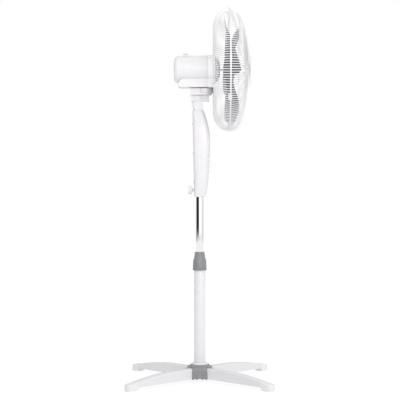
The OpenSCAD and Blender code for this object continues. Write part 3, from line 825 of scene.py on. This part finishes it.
@dataclass
class Base:
    """The crossed base: legs, feet and hub."""

    start: float = 0.027
    bend: float = 0.110
    half: float = 0.016
    end_top: float = 0.027
    foot_top: float = 0.0215
    corner: float = 0.006
    wall: float = 0.0024
    steps: int = 30
    foot_low: float = 0.003
    foot_round: float = 0.014
    foot_lip: float = 0.0009
    foot_gap: float = 0.0001
    foot_shelf: float = 0.00002
    fillet: float = 0.004
    cheek_near: float = 0.030
    cheek_half: float = 0.0246
    cheek_low: float = 0.0345
    cheek_top: float = 0.0475
    cheek_lip: float = 0.002
    cheek_knee: float = 0.3
    cheek_corner: float = 0.0015
    cheek_reach: float = 0.0484
    ear_reach: float = 0.0415

    def leg_section(self, s: float, top: float, bottom: float, half: float) -> list[Vector]:
        """One upside-down U of a leg's channel.

        Args:
            s: Distance from the pole axis.
            top: Height of the channel's top.
            bottom: Height of its lower edges.
            half: Half its width.

        Returns:
            The section's loop, for a leg along +X.
        """
        w = self.wall
        outer = [(-half, bottom), (-half, top), (half, top), (half, bottom)]
        inner = [(half - w, bottom), (half - w, top - w), (-half + w, top - w), (-half + w, bottom)]
        loop = rounded(outer, self.corner, 5, False) + rounded(inner, self.corner - w, 3, False)
        return [Vector((s, p[0], p[1])) for p in loop]

    def leg(self, node: str, angle: float) -> None:
        """Builds one leg.

        Args:
            node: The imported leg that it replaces.
            angle: Its direction in degrees.
        """
        low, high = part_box(node)
        reach = self.seam(node)
        sections = []
        for k in range(self.steps + 1):
            s = self.start + (reach - self.start) * k / self.steps
            u = max((s - self.bend) / (reach - self.bend), 0.0)
            top = high.z - (high.z - self.end_top) * u * u
            sections.append(self.leg_section(s, top, low.z, self.half))
        mesh = loft(sections)
        mesh.transform(Matrix.Rotation(math.radians(angle), 4, "Z"))
        piece = dressed(node.replace("leg", "arched_leg"), mesh, Palette.LEG)
        place(piece, Palette.LEG, "base", node)

    def seam(self, node: str) -> float:
        """Distance from the pole axis to a leg's outer end."""
        low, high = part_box(node)
        return max(abs(low.x), abs(high.x)) * math.sqrt(2) - self.half

    def foot_level(self, z: float, inset: float, rear: float, reach: float) -> list[Vector]:
        """One level of a foot: a bar with a broad rounded end.

        Args:
            z: The level's height.
            inset: How far its sides and end pull in.
            rear: Where the bar starts.
            reach: Where the foot ends.

        Returns:
            The level's loop, for a leg along +X.
        """
        r = self.foot_round
        loop = [Vector((rear, -self.half + inset, z))]
        for side in (-1, 1):
            for k in range(13):
                a = math.radians(7.5 * (k - 12) if side < 0 else 7.5 * k)
                loop.append(Vector((reach - r + (r - inset) * math.cos(a),
                                    side * (self.half - r) + (r - inset) * math.sin(a), z)))
        loop.append(Vector((rear, self.half - inset, z)))
        return loop

    def foot(self, angle: float) -> bpy.types.Mesh:
        """One foot, with a fillet up to the leg's underside and a rounded top edge."""
        rear = self.seam("leg_front_left") + self.foot_gap
        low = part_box("leg_front_left")[0].z
        r = self.foot_round
        reach = (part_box("foot_caps")[1].x - r) * math.sqrt(2) + 2 * r - self.half
        levels = [self.foot_level(self.foot_low, self.foot_lip, rear, reach),
                  self.foot_level(self.foot_low + self.foot_lip, 0.0, rear, reach)]
        for k in range(1, 8):
            t = k / 7
            back = self.fillet * (1 - math.sqrt(1 - t * t))
            z = self.foot_low + self.foot_lip + (low - self.foot_low - self.foot_lip) * t
            levels.append(self.foot_level(z, 0.0, rear - back, reach))
        levels.append(self.foot_level(low + self.foot_shelf, 0.0, rear, reach))
        for k in range(9):
            t = k / 8
            z = self.end_top - self.corner * (1 - t) ** 2
            levels.append(self.foot_level(z, self.corner * t * t, rear, reach))
        slope = (self.end_top - self.foot_top) / (reach - rear)
        for level in levels:
            for point in level:
                if point.z > low:
                    point.z -= slope * (point.x - rear) * (point.z - low) / (self.end_top - low)
        mesh = loft(levels)
        mesh.transform(Matrix.Rotation(math.radians(angle), 4, "Z"))
        return mesh

    def cheek(self, angle: float, far: float) -> bpy.types.Mesh:
        """One raised cheek of the hub, between two legs' inner ends.

        Args:
            angle: Its direction in degrees.
            far: Distance from the pole axis to its outer face.

        Returns:
            The cheek's mesh.
        """
        near, half = self.cheek_near, self.cheek_half
        low, top, lip = self.cheek_low, self.cheek_top, self.cheek_lip
        knee = self.cheek_knee * lip
        levels = []
        for z, inset in ((low, 0.0), (top - lip, 0.0), (top - knee, knee), (top, lip)):
            side, face = half - inset, far - inset
            outline = [(near, -side, z), (face, -side, z), (face, side, z), (near, side, z)]
            levels.append(rounded([Vector(point) for point in outline], self.cheek_corner))
        mesh = loft(levels)
        mesh.transform(Matrix.Rotation(math.radians(angle), 4, "Z"))
        return mesh

    def build(self) -> None:
        """Builds the base's pieces."""
        angles = {"leg_front_left": 45, "leg_rear_left": 135, "leg_rear_right": 225, "leg_front_right": 315}
        for node, angle in angles.items():
            self.leg(node, angle)
        feet = joined([self.foot(angle) for angle in angles.values()])
        # The feet's lighter moulding is painted light against the shade under the legs.
        place(dressed("rounded_feet", feet, Palette.PAINTED_LIT_FOOT), Palette.PAINTED_LIT_FOOT, "base", "foot_caps")
        refined_piece("foot_soles", Palette.SOLE, 0.0005)
        refined_piece("base_hub", Palette.HUB, 0.0008)
        cheeks = joined([self.cheek(angle, reach) for angle, reach in (
            (0, self.ear_reach), (90, self.cheek_reach), (180, self.ear_reach), (270, self.cheek_reach))])
        place(dressed("hub_cheeks", cheeks, Palette.HUB), Palette.HUB, "base")
        refined_piece("pole_foot", Palette.WHITE, 0.0008)
        for node in ("leg_screws", "base_bolt"):
            refined_piece(node, Palette.STEEL, 0.0004)


@dataclass
class Mast:
    """The outer pole, the locking collar and the chrome tube."""

    segments: int = 96
    lip: float = 0.0006

    def tube(self, node: str, name: str, finish: Finish, wall: float) -> None:
        """Builds a round tube with rolled ends.

        Args:
            node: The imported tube.
            name: The piece's name.
            finish: Its finish.
            wall: Wall thickness.
        """
        low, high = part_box(node)
        r = (high.x - low.x) / 2
        profile = rounded([(r - wall, low.z), (r, low.z), (r, high.z), (r - wall, high.z)], self.lip, 3)
        mesh = lathe(profile, (0, 0, 0), "Z", self.segments)
        place(dressed(name, mesh, finish), finish, BODY_OF[node], node)

    def build(self) -> None:
        """Builds the mast's pieces."""
        self.tube("outer_pole", "outer_pole_tube", Palette.POLE, 0.0012)
        self.tube("chrome_tube", "polished_tube", Palette.CHROME, 0.0012)
        refined_piece("pole_bush", Palette.GREY, 0.0004)
        refined_piece("collet", Palette.GREY, 0.0003)
        refined_piece("locking_collar", Palette.GREY, 0.0006)
        refined_piece("tube_end_plug", Palette.GREY, 0.0004)


@dataclass
class Column:
    """The control column with its buttons, cover, screws, knob and neck stem."""

    front: tuple = ((0.615, 0.017), (0.638, 0.0246), (0.678, 0.0292), (0.738, 0.0312),
                    (0.805, 0.0352), (0.846, 0.0302), (0.880, 0.021), (0.904, 0.0125))
    side: tuple = ((0.615, 0.022), (0.650, 0.0285), (0.710, 0.032), (0.780, 0.033),
                   (0.840, 0.030), (0.904, 0.017))
    rear_low: float = -0.0185
    rear_high: float = -0.0245
    power: float = 3.4
    rings: int = 72
    sides: int = 72
    edge: float = 0.0012
    cover_low: float = 0.652
    cover_high: float = 0.868
    cover_front: float = -0.0057

    def section(self, z: float, shrink: float) -> list[Vector]:
        """One level of the column.

        Args:
            z: Height.
            shrink: How far the outline pulls in.

        Returns:
            The section's loop.
        """
        low, high = self.front[0][0], self.front[-1][0]
        back = self.rear_low + (self.rear_high - self.rear_low) * (z - low) / (high - low) + shrink
        ahead = value_at(self.fronts, z) - shrink
        half = value_at(self.sides_at, z) - shrink
        middle, reach = (back + ahead) / 2, (ahead - back) / 2
        loop = []
        for k in range(self.sides):
            a = 2 * math.pi * k / self.sides
            c, s = math.cos(a), math.sin(a)
            x = math.copysign(abs(c) ** (2 / self.power), c)
            y = math.copysign(abs(s) ** (2 / self.power), s)
            loop.append(Vector((middle + reach * x, half * y, z)))
        return loop

    def body(self) -> bpy.types.Mesh:
        """The whole column as one solid, with rounded ends."""
        self.fronts = smooth_curve(self.front, 6)
        self.sides_at = smooth_curve(self.side, 6)
        low, high = self.front[0][0], self.front[-1][0]
        levels = [(low, self.edge), (low + self.edge * 0.3, self.edge * 0.3), (low + self.edge, 0.0)]
        for k in range(1, self.rings):
            levels.append((low + self.edge + (high - low - 2 * self.edge) * k / self.rings, 0.0))
        levels += [(high - self.edge, 0.0), (high - self.edge * 0.3, self.edge * 0.3), (high, self.edge)]
        return loft([self.section(z, shrink) for z, shrink in levels])

    def cover_prism(self, grow: float) -> bpy.types.Mesh:
        """The side view of the rear cover as a prism, grown by a gap."""
        g = grow
        upper = smooth_curve([(-0.021, self.cover_high + g), (-0.012 + g, self.cover_high - 0.006 + g),
                              (-0.0065 + g, 0.846), (self.cover_front + g, 0.820)], 8)
        lower = smooth_curve([(self.cover_front + g, 0.735), (-0.0065 + g, 0.708),
                              (-0.013 + g, 0.678), (-0.019 + g, self.cover_low - g)], 8)
        outline = [Vector((-0.04, self.cover_high + g)), *upper, *lower, Vector((-0.04, self.cover_low - g))]
        return loft([[Vector((p[0], y, p[1])) for p in outline] for y in (-0.06, 0.06)])

    def shells(self) -> None:
        """Builds the front shell and the rear cover."""
        solid = self.body()
        hollow = self.box_mesh((0.013, -0.0125, 0.694), (0.05, 0.0125, 0.768), 0.0012)
        front = carved(carved(solid, self.cover_prism(0.00025), "DIFFERENCE"), hollow, "DIFFERENCE")
        rear = carved(solid, self.cover_prism(0.0), "INTERSECT")
        shell = dressed("column_front_shell", front, Palette.WHITE)
        place(shell, Palette.WHITE, "mast", "control_box_front")
        cover = dressed("column_rear_cover", rear, Palette.COVER)
        place(cover, Palette.COVER, "mast", "control_box_rear")

    def box_mesh(self, low: Point, high: Point, corner: float) -> bpy.types.Mesh:
        """A block with rounded upright edges."""
        (y0, z0), (y1, z1) = low[1:], high[1:]
        outline = rounded([(y0, z0), (y1, z0), (y1, z1), (y0, z1)], corner)
        return loft([[Vector((x, p[0], p[1])) for p in outline] for x in (low[0], high[0])])

    def buttons(self) -> None:
        """Builds the four push buttons with crowned faces."""
        for name in ("off", "low", "medium", "high"):
            node = f"button_{name}"
            low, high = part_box(node)
            middle = (low + high) / 2
            sections = []
            for t, shrink in ((0.0, 0.0), (0.72, 0.0), (0.86, 0.0006), (0.95, 0.0018), (1.0, 0.0036)):
                x = low.x + (high.x - low.x) * t
                hy, hz = (high.y - low.y) / 2 - shrink, (high.z - low.z) / 2 - shrink
                outline = rounded([(-hy, -hz), (hy, -hz), (hy, hz), (-hy, hz)], 0.0022, 5)
                sections.append([Vector((x, middle.y + p[0], middle.z + p[1])) for p in outline])
            piece = dressed(f"push_button_{name}", loft(sections), Palette.BUTTON, 50.0)
            place(piece, Palette.BUTTON, BODY_OF[node], node)

    def build(self) -> None:
        """Builds the column's pieces."""
        self.shells()
        self.buttons()
        refined_piece("mast_knob", Palette.WHITE, 0.0008)
        refined_piece("box_screws", Palette.STEEL, 0.0003)
        refined_piece("cord_gland", Palette.GREY, 0.0004)
        refined_piece("neck_stem", Palette.WHITE, 0.0006)
        refined_piece("tilt_bolt", Palette.COVER, 0.0008)


@dataclass
class Neck:
    """The tilting bracket, the swing housing and the short lead in its ribbed sleeve."""

    lead_radius: float = 0.0030
    rib_radius: float = 0.0034
    rib_width: float = 0.0010
    ribs: int = 9
    route: tuple = ((-0.017, 0, 0.898), (-0.017, 0, 0.904), (-0.018, 0, 0.908), (-0.021, 0, 0.912),
                    (-0.0225, 0, 0.917), (-0.0235, 0, 0.922), (-0.0235, 0, 0.928), (-0.0235, 0, 0.9344))

    def lead(self) -> None:
        """Builds the lead from the column up into the bracket."""
        mesh = sleeve_tree().run(polyline(smooth_curve(self.route, 5)), {
            "Ribs": self.ribs, "Rib Radius": self.rib_radius, "Rib Width": self.rib_width,
            "Core Radius": self.lead_radius, "Finish": Palette.LEAD.material()})
        piece = dressed("neck_lead", mesh, Palette.LEAD)
        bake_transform(piece)
        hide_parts("motor_lead")
        LOG.info("neck_lead bends between mast and neck")

    def build(self) -> None:
        """Builds the neck's pieces."""
        refined_piece("tilt_bracket", Palette.WHITE, 0.0014)
        refined_piece("swing_housing", Palette.WHITE, 0.0014)
        self.lead()


@dataclass
class Guard:
    """The wire cage: rear and front guards, their joining ring, clips and badge."""

    wires: int = 160
    wire_radius: float = 0.0011
    hoop_radius: float = 0.0014
    hoop_offset: float = 0.0016
    rear_start: float = 0.043
    front_end: float = 0.047
    corner: float = 0.060
    power: float = 2.65
    steps: int = 22
    sides: int = 6
    centre: Vector = field(default_factory=lambda: Vector((0, 0, 1.04)))

    def rear_line(self) -> list[Vector]:
        """One rear wire's centre line, from the centre plate to the rim, for a wire pointing up."""
        low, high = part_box("rear_grille")
        rim = (high.z - low.z) / 2 - self.wire_radius
        start = low.x + self.wire_radius
        depth = high.x - self.wire_radius - start
        line = [Vector((start, 0, self.rear_start))]
        for k in range(self.steps + 1):
            a = math.pi / 2 * k / self.steps
            z = rim - self.corner + self.corner * math.sin(a)
            line.append(Vector((start + depth * (1 - math.cos(a)), 0, z)))
        return line

    def front_line(self) -> list[Vector]:
        """One front wire's centre line, from the rim to the badge, for a wire pointing up."""
        low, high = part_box("front_grille")
        rim = (high.z - low.z) / 2 - self.wire_radius
        start = low.x + self.wire_radius
        depth = high.x - self.wire_radius - start
        last = math.acos((self.front_end / rim) ** (self.power / 2))
        line = []
        for k in range(self.steps + 1):
            a = last * k / self.steps
            r = rim * math.cos(a) ** (2 / self.power)
            x = start + depth * math.sin(a) ** (2 / self.power) if k else start
            line.append(Vector((x, 0, r)))
        return line

    def hoop(self, r: float, x: float, wire: float) -> bpy.types.Mesh:
        """A round hoop of wire."""
        section = [(r + wire * math.cos(2 * math.pi * k / 8), wire * math.sin(2 * math.pi * k / 8))
                   for k in range(8)]
        return lathe(section, (x, 0, self.centre.z), "X", 144)

    def reading(self, line: Sequence[Vector], r: float) -> float:
        """Depth of a wire's centre line at a radius."""
        pairs = sorted((p.z, p.x) for p in line)
        return value_at(pairs, r)

    def half(self, tree: GeoTree, name: str, node: str, line: list[Vector], hoops: Sequence[float],
             extra: Sequence[bpy.types.Mesh]) -> None:
        """Builds one half of the cage.

        Args:
            tree: The wire tree.
            name: The piece's name.
            node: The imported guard.
            line: One wire's centre line.
            hoops: Radii of the hoops welded inside the wires.
            extra: Further meshes of the half.
        """
        rim = max(p.z for p in line)
        rim_x = next(p.x for p in line if p.z == rim)
        wires = tree.run(polyline(line), {
            "Count": self.wires, "Wire Radius": self.wire_radius, "Sides": self.sides,
            "Centre": tuple(self.centre), "Finish": Palette.WIRE.material()})
        offset = self.hoop_offset if "rear" in name else -self.hoop_offset
        rings = [self.hoop(r, self.reading(line, r) + offset, self.hoop_radius) for r in hoops]
        rings.append(self.hoop(rim, rim_x, self.hoop_radius))
        piece = dressed(name, joined([wires, *rings, *extra]), Palette.WIRE, 60.0)
        place(piece, Palette.WIRE, "head", node)

    def plate(self) -> bpy.types.Mesh:
        """The rear guard's dished centre plate."""
        x0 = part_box("rear_grille")[0].x
        profile = rounded([(0.0123, x0), (0.046, x0), (0.0465, x0 + 0.006), (0.038, x0 + 0.0108),
                           (0.030, x0 + 0.0108), (0.030, x0 + 0.0028), (0.0123, x0 + 0.0028)], 0.0012, 4)
        return lathe(profile, (0, 0, self.centre.z), "X", 96)

    def badge(self) -> None:
        """Builds the plain centre badge, a shallow dome inside a rim."""
        low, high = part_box("front_badge")
        r = (high.z - low.z) / 2
        top = high.x
        profile = [(0.0, top), (r * 0.4, top - 0.0003), (r * 0.68, top - 0.0010), (r * 0.76, top - 0.0014),
                   (r * 0.78, top - 0.0022), (r * 0.81, top - 0.0022), (r * 0.83, top - 0.0010),
                   (r * 0.95, top - 0.0012), (r * 0.985, top - 0.0018), (r, top - 0.0030),
                   (r * 0.99, top - 0.0042), (r * 0.93, low.x + 0.0012), (r * 0.90, low.x), (0.0, low.x)]
        mesh = lathe(profile, (0, 0, self.centre.z), "X", 96, closed=False)
        place(dressed("centre_badge", mesh, Palette.WHITE), Palette.WHITE, "head", "front_badge")

    def build(self, tree: GeoTree) -> None:
        """Builds the cage."""
        self.half(tree, "rear_guard_wires", "rear_grille", self.rear_line(), (0.130, 0.075), [self.plate()])
        self.half(tree, "front_guard_wires", "front_grille", self.front_line(), (0.130, 0.186, 0.049), [])
        self.badge()
        refined_piece("joining_ring", Palette.WHITE, 0.0003)
        # The nut's pale moulding is painted light against the shade inside the cage.
        refined_piece("grille_nut", Palette.PAINTED_LIT_NUT, 0.0008)
        for name in ("clip_top", "clip_near", "clip_far"):
            refined_piece(name, Palette.WHITE, 0.0003)


@dataclass
class Propeller:
    """The three-bladed propeller and its nut."""

    blades: int = 3
    hub: float = 0.036
    tip: float = 0.181
    rear: float = 0.082
    blade_rear: float = 0.084
    trail: float = 0.0152
    lead: float = 92.0
    taper: float = 16.0
    rise: float = 0.0295
    climb: float = 0.0205
    low: float = 0.045
    full: float = 0.140
    ramp: float = 52.5
    soft: float = 0.003
    root_overlap: float = 0.003
    front_corner: float = 0.158
    front_cut: float = 15.0
    rear_corner: float = 0.140
    rear_cut: float = 22.0
    middle_lean: float = 0.0035
    middle_span: tuple[float, float] = (0.060, 0.125)
    tip_lean: float = 0.006
    tip_start: float = 0.140
    edge_width: float = 0.06
    edge_share: float = 0.3
    thickness: float = 0.0022
    spans: int = 34
    chords: int = 40
    centre_z: float = 1.04

    def corner_cut(self, r: float, start: float, angle: float) -> float:
        """How far a blade's outer corner is cut back, in degrees, at a radius."""
        return 0.0 if r < start else angle * ((r - start) / (self.tip - start)) ** 2

    def lean(self, r: float, behind: float) -> float:
        """How far a blade's rear part leans forward at a radius and an angle behind its front line."""
        def ease(x: float, low: float, high: float) -> float:
            """A soft step from 0 to 1."""
            u = min(max((x - low) / (high - low), 0.0), 1.0)
            return u * u * (3 - 2 * u)
        middle = self.middle_lean * ease(r, *self.middle_span)
        return ease(behind, 40, 60) * (middle - self.tip_lean * ease(r, self.tip_start, self.tip))

    def blade_point(self, s: float, t: float, turn: float, side: float) -> Vector:
        """A point of a blade's skin.

        Args:
            s: Place along the span, 0 at the root and 1 at the tip.
            t: Place along the chord, 0 at the front edge and 1 at the rear edge.
            turn: The blade's angle in degrees.
            side: 1 for the front skin and -1 for the rear skin.

        Returns:
            The point.
        """
        r = self.hub - self.root_overlap + (self.tip - self.hub + self.root_overlap) * s
        line = math.degrees(math.asin(self.trail / r))
        front = -line + self.corner_cut(r, self.front_corner, self.front_cut)
        cut = self.corner_cut(r, self.rear_corner, self.rear_cut)
        back = self.lead - self.taper * (self.tip - r) / self.tip - cut
        behind = front + (back - front) * t
        u = min(max((r - self.low) / (self.full - self.low), 0.0), 1.0)
        d = behind + line
        z = (self.rise + self.climb * u * u * (3 - 2 * u)) * (1 - d / self.ramp)
        edge = min(t, 1 - t, (1 - s) * 1.5)
        share = self.edge_share + (1 - self.edge_share) * min(edge / self.edge_width, 1.0)
        thick = self.thickness * 0.5 * share
        x = self.blade_rear + self.soft * math.log(1 + math.exp(z / self.soft))
        x = x + self.lean(r, d) + side * thick
        a = math.radians(turn + behind)
        return Vector((x, -r * math.cos(a), self.centre_z + r * math.sin(a)))

    def blade(self, turn: float) -> bpy.types.Mesh:
        """One blade as a closed skin."""
        points, faces = [], []
        cols = self.chords + 1
        count = (self.spans + 1) * cols
        for side in (1, -1):
            for i in range(self.spans + 1):
                for j in range(cols):
                    points.append(self.blade_point(i / self.spans, j / self.chords, turn, side))
        for i in range(self.spans):
            for j in range(self.chords):
                q = i * cols + j
                faces.append((q, q + 1, q + cols + 1, q + cols))
                faces.append((count + q, count + q + cols, count + q + cols + 1, count + q + 1))
        for i in range(self.spans):
            for j in (0, self.chords):
                q = i * cols + j
                faces.append((q, q + cols, count + q + cols, count + q))
        for j in range(self.chords):
            for i in (0, self.spans):
                q = i * cols + j
                faces.append((q, q + 1, count + q + 1, count + q))
        return mesh_of(points, faces)

    def hub_mesh(self) -> bpy.types.Mesh:
        """The hollow hub."""
        low, x1 = self.rear, 0.116
        profile = [(self.hub - 0.003, low), (self.hub, low + 0.001), (self.hub, x1 - 0.008),
                   (self.hub - 0.003, x1 - 0.002), (self.hub - 0.009, x1), (0.0042, x1),
                   (0.0042, x1 - 0.006), (self.hub - 0.008, x1 - 0.006), (self.hub - 0.003, x1 - 0.011)]
        return lathe(profile, (0, 0, self.centre_z), "X", 72)

    def build(self) -> None:
        """Builds the propeller and its nut."""
        meshes = [self.blade(360 * k / self.blades) for k in range(self.blades)] + [self.hub_mesh()]
        piece = dressed("propeller_blades", joined(meshes), Palette.BLADE, 40.0)
        place(piece, Palette.BLADE, "rotor", "propeller")
        refined_piece("propeller_nut", Palette.HUB, 0.0006)


@dataclass
class MotorHead:
    """The motor housing, its ring, lower cover and small parts."""

    def build(self) -> None:
        """Builds the head's shells."""
        refined_piece("motor_housing", Palette.WHITE, 0.0005)
        # The ring's lighter moulding is painted light against the shade cast by the cage.
        refined_piece("housing_ring", Palette.PAINTED_LIT_WHITE, 0.0012)
        refined_piece("lower_cover", Palette.WHITE, 0.0010)
        refined_piece("housing_screws", Palette.STEEL, 0.0003)
        refined_piece("oscillation_knob", Palette.WHITE, 0.0006)


class Inside:
    """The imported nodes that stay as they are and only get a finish."""

    FINISHES: ClassVar[dict[str, Finish]] = {
        "switch_bank": Palette.HUB, "capacitor": Palette.COVER, "swing_bush": Palette.BRONZE,
        "link_arm": Palette.STEEL, "motor_frame": Palette.CAST, "rear_bell": Palette.CAST,
        "front_bell": Palette.CAST, "stator_core": Palette.LAMINATION, "stator_coils": Palette.COPPER,
        "bearings": Palette.BRONZE, "gearbox_case": Palette.GEAR, "motor_shaft": Palette.STEEL,
        "rotor_core": Palette.LAMINATION, "clutch_gear": Palette.GEAR, "crank_gear": Palette.GEAR}

    def build(self) -> None:
        """Dresses the inner nodes."""
        for node, finish in self.FINISHES.items():
            mesh = frame["nodes"][node].data
            mesh.materials.clear()
            mesh.materials.append(finish.material())
            LOG.info("%s keeps its packed shape", node)


# ---------------------------------------------------------------- studio


@dataclass
class Studio:
    """Pale floor, soft light and the camera."""

    distance: float = 4.010
    height: float = 0.640
    lens: float = 107.7
    rise: float = -0.02675
    aside: float = 0.001
    floor_half: float = 8.5
    floor_glow: float = 0.90
    ambient: float = 0.72
    from_right: float = 0.14
    from_front: float = 0.14
    from_above: float = 0.40
    dim_strip: tuple[float, float, float] = (67.0, 43.0, 8.0)
    dim_depth: float = 0.97
    bright_strip: tuple[float, float, float] = (-18.0, 40.0, 10.0)
    bright_gain: float = 0.34
    line_strip: tuple[float, float, float] = (-74.0, 3.0, 3.0)
    line_depth: float = 0.3
    band_foot: tuple[float, float] = (-0.055, -0.008)
    band_head: tuple[float, float] = (0.16, 0.26)
    key_place: tuple[float, float, float] = (0.7, -3.0, 1.7)
    key_target: tuple[float, float, float] = (0.0, 0.0, 0.95)
    key_size: float = 1.2
    key_power: float = 24.0
    fill_place: tuple[float, float, float] = (-0.8, -1.7, 1.35)
    fill_target: tuple[float, float, float] = (0.03, 0.0, 1.02)
    fill_size: float = 0.5
    fill_power: float = 0.55
    fill_spread: float = 55.0

    def camera(self) -> None:
        """Sets a level camera that looks along +Y."""
        data = bpy.data.cameras.new("camera")
        data.lens = self.lens
        data.sensor_width = 36.0
        data.shift_y = self.rise
        data.clip_end = 50.0
        eye = bpy.data.objects.new("camera", data)
        eye.location = (self.aside, -self.distance, self.height)
        eye.rotation_euler = (math.pi / 2, 0, 0)
        bpy.context.scene.collection.objects.link(eye)
        bpy.context.scene.camera = eye

    def floor(self) -> None:
        """Lays a wide pale floor."""
        shader = Shader("studio_floor")
        tone = shader.blend(shader.noise(3.0, 2.0), (0.12, 0.12, 0.12), (0.11, 0.11, 0.11))
        matt = shader.node("ShaderNodeBsdfDiffuse", {}, {"Color": tone})
        glow = shader.node("ShaderNodeEmission", {}, {"Color": (1, 1, 1, 1), "Strength": self.floor_glow})
        both = shader.node("ShaderNodeAddShader", {}, {0: matt.outputs[0], 1: glow.outputs[0]})
        shader.node("ShaderNodeOutputMaterial", {}, {"Surface": both.outputs[0]})
        mesh = bpy.data.meshes.new("studio_floor")
        half = self.floor_half
        corners = [(-half, -half, 0), (half, -half, 0), (half, half, 0), (-half, half, 0)]
        mesh.from_pydata(corners, [], [(0, 1, 2, 3)])
        mesh.materials.append(shader.material)
        floor = bpy.data.objects.new("studio_floor", mesh)
        bpy.context.scene.collection.objects.link(floor)

    def lamp(self, name: str, place_at: Point, target: Point, size: float, power: float,
             spread: float = 180.0) -> None:
        """Adds one soft area light.

        Args:
            name: The light's name.
            place_at: Where it stands.
            target: Where it points.
            size: Its diameter in metres.
            power: Its power in watts.
            spread: Angle of its beam in degrees.
        """
        data = bpy.data.lights.new(name, "AREA")
        data.size = size
        data.energy = power
        data.shape = "DISK"
        data.spread = math.radians(spread)
        lamp = bpy.data.objects.new(name, data)
        lamp.location = place_at
        lamp.visible_camera = False
        lamp.rotation_euler = (Vector(target) - Vector(place_at)).to_track_quat("-Z", "Y").to_euler()
        bpy.context.scene.collection.objects.link(lamp)

    def step(self, shader: Shader, value: Any, low: float, high: float) -> Term:
        """A soft step from 0 at one value to 1 at another."""
        made = shader.node("ShaderNodeMapRange", {"interpolation_type": "SMOOTHSTEP"}, {
            "Value": value, "From Min": low, "From Max": high, "To Min": 0.0, "To Max": 1.0})
        return Term(shader, made.outputs[0])

    def strip(self, shader: Shader, across: Term, deep: Term, angle: float, half: float, edge: float) -> Term:
        """An upright strip of the surround.

        Args:
            shader: The world's shader.
            across: The direction's X.
            deep: The direction's Y.
            angle: The strip's middle in degrees, from the camera's side towards -X.
            half: Half its width in degrees.
            edge: Width of its soft edge in degrees.

        Returns:
            1 inside the strip and 0 outside.
        """
        turn = math.radians(angle)
        toward = across * -math.sin(turn) + deep * -math.cos(turn)
        low, high = math.cos(math.radians(half + edge / 2)), math.cos(math.radians(max(half - edge / 2, 0.0)))
        return self.step(shader, toward, low, high)

    def world(self) -> None:
        """Sets a soft surround with dim and bright strips, and plain white behind the fan."""
        world = bpy.data.worlds.new("studio")
        world.use_nodes = True
        world.node_tree.nodes.clear()
        bpy.context.scene.world = world
        shader = Shader.over(world.node_tree, "Generated")
        parts = shader.node("ShaderNodeSeparateXYZ", {}, {0: shader.place})
        across, deep, up = (Term(shader, parts.outputs[k]) for k in range(3))
        level = self.ambient + self.from_right * across - self.from_front * deep + self.from_above * up
        low = self.step(shader, up, *self.band_foot)
        high = 1.0 - self.step(shader, up, *self.band_head)
        dim = self.strip(shader, across, deep, *self.dim_strip) * low * high
        bright = self.strip(shader, across, deep, *self.bright_strip) * low * high
        line = self.strip(shader, across, deep, *self.line_strip) * high * self.line_depth
        soft = (level + bright * self.bright_gain) * (1.0 - dim * self.dim_depth) * (1.0 - line)
        room = shader.node("ShaderNodeBackground", {}, {"Color": (1, 1, 1, 1), "Strength": soft})
        white = shader.node("ShaderNodeBackground", {}, {"Color": (1, 1, 1, 1), "Strength": 1.0})
        path = shader.node("ShaderNodeLightPath", {}, {})
        both = shader.node("ShaderNodeMixShader", {}, {
            0: path.outputs["Is Camera Ray"], 1: room.outputs[0], 2: white.outputs[0]})
        shader.node("ShaderNodeOutputWorld", {}, {"Surface": both.outputs[0]})

    def light(self) -> None:
        """Sets the world and the lamps."""
        self.world()
        self.lamp("fill", self.fill_place, self.fill_target, self.fill_size, self.fill_power,
                  self.fill_spread)
        self.lamp("key", self.key_place, self.key_target, self.key_size, self.key_power)
        bpy.context.scene.view_settings.view_transform = "Standard"

    def build(self) -> None:
        """Builds the studio."""
        self.camera()
        self.floor()
        self.light()


def main() -> None:
    """Builds the studio and every sub-assembly."""
    logging.basicConfig(level=logging.INFO, format="%(name)s: %(message)s")
    Studio().build()
    wires = wire_tree()
    Base().build()
    Mast().build()
    Column().build()
    Neck().build()
    MotorHead().build()
    Guard().build(wires)
    Propeller().build()
    Inside().build()


if __name__ == "__main__":
    main()
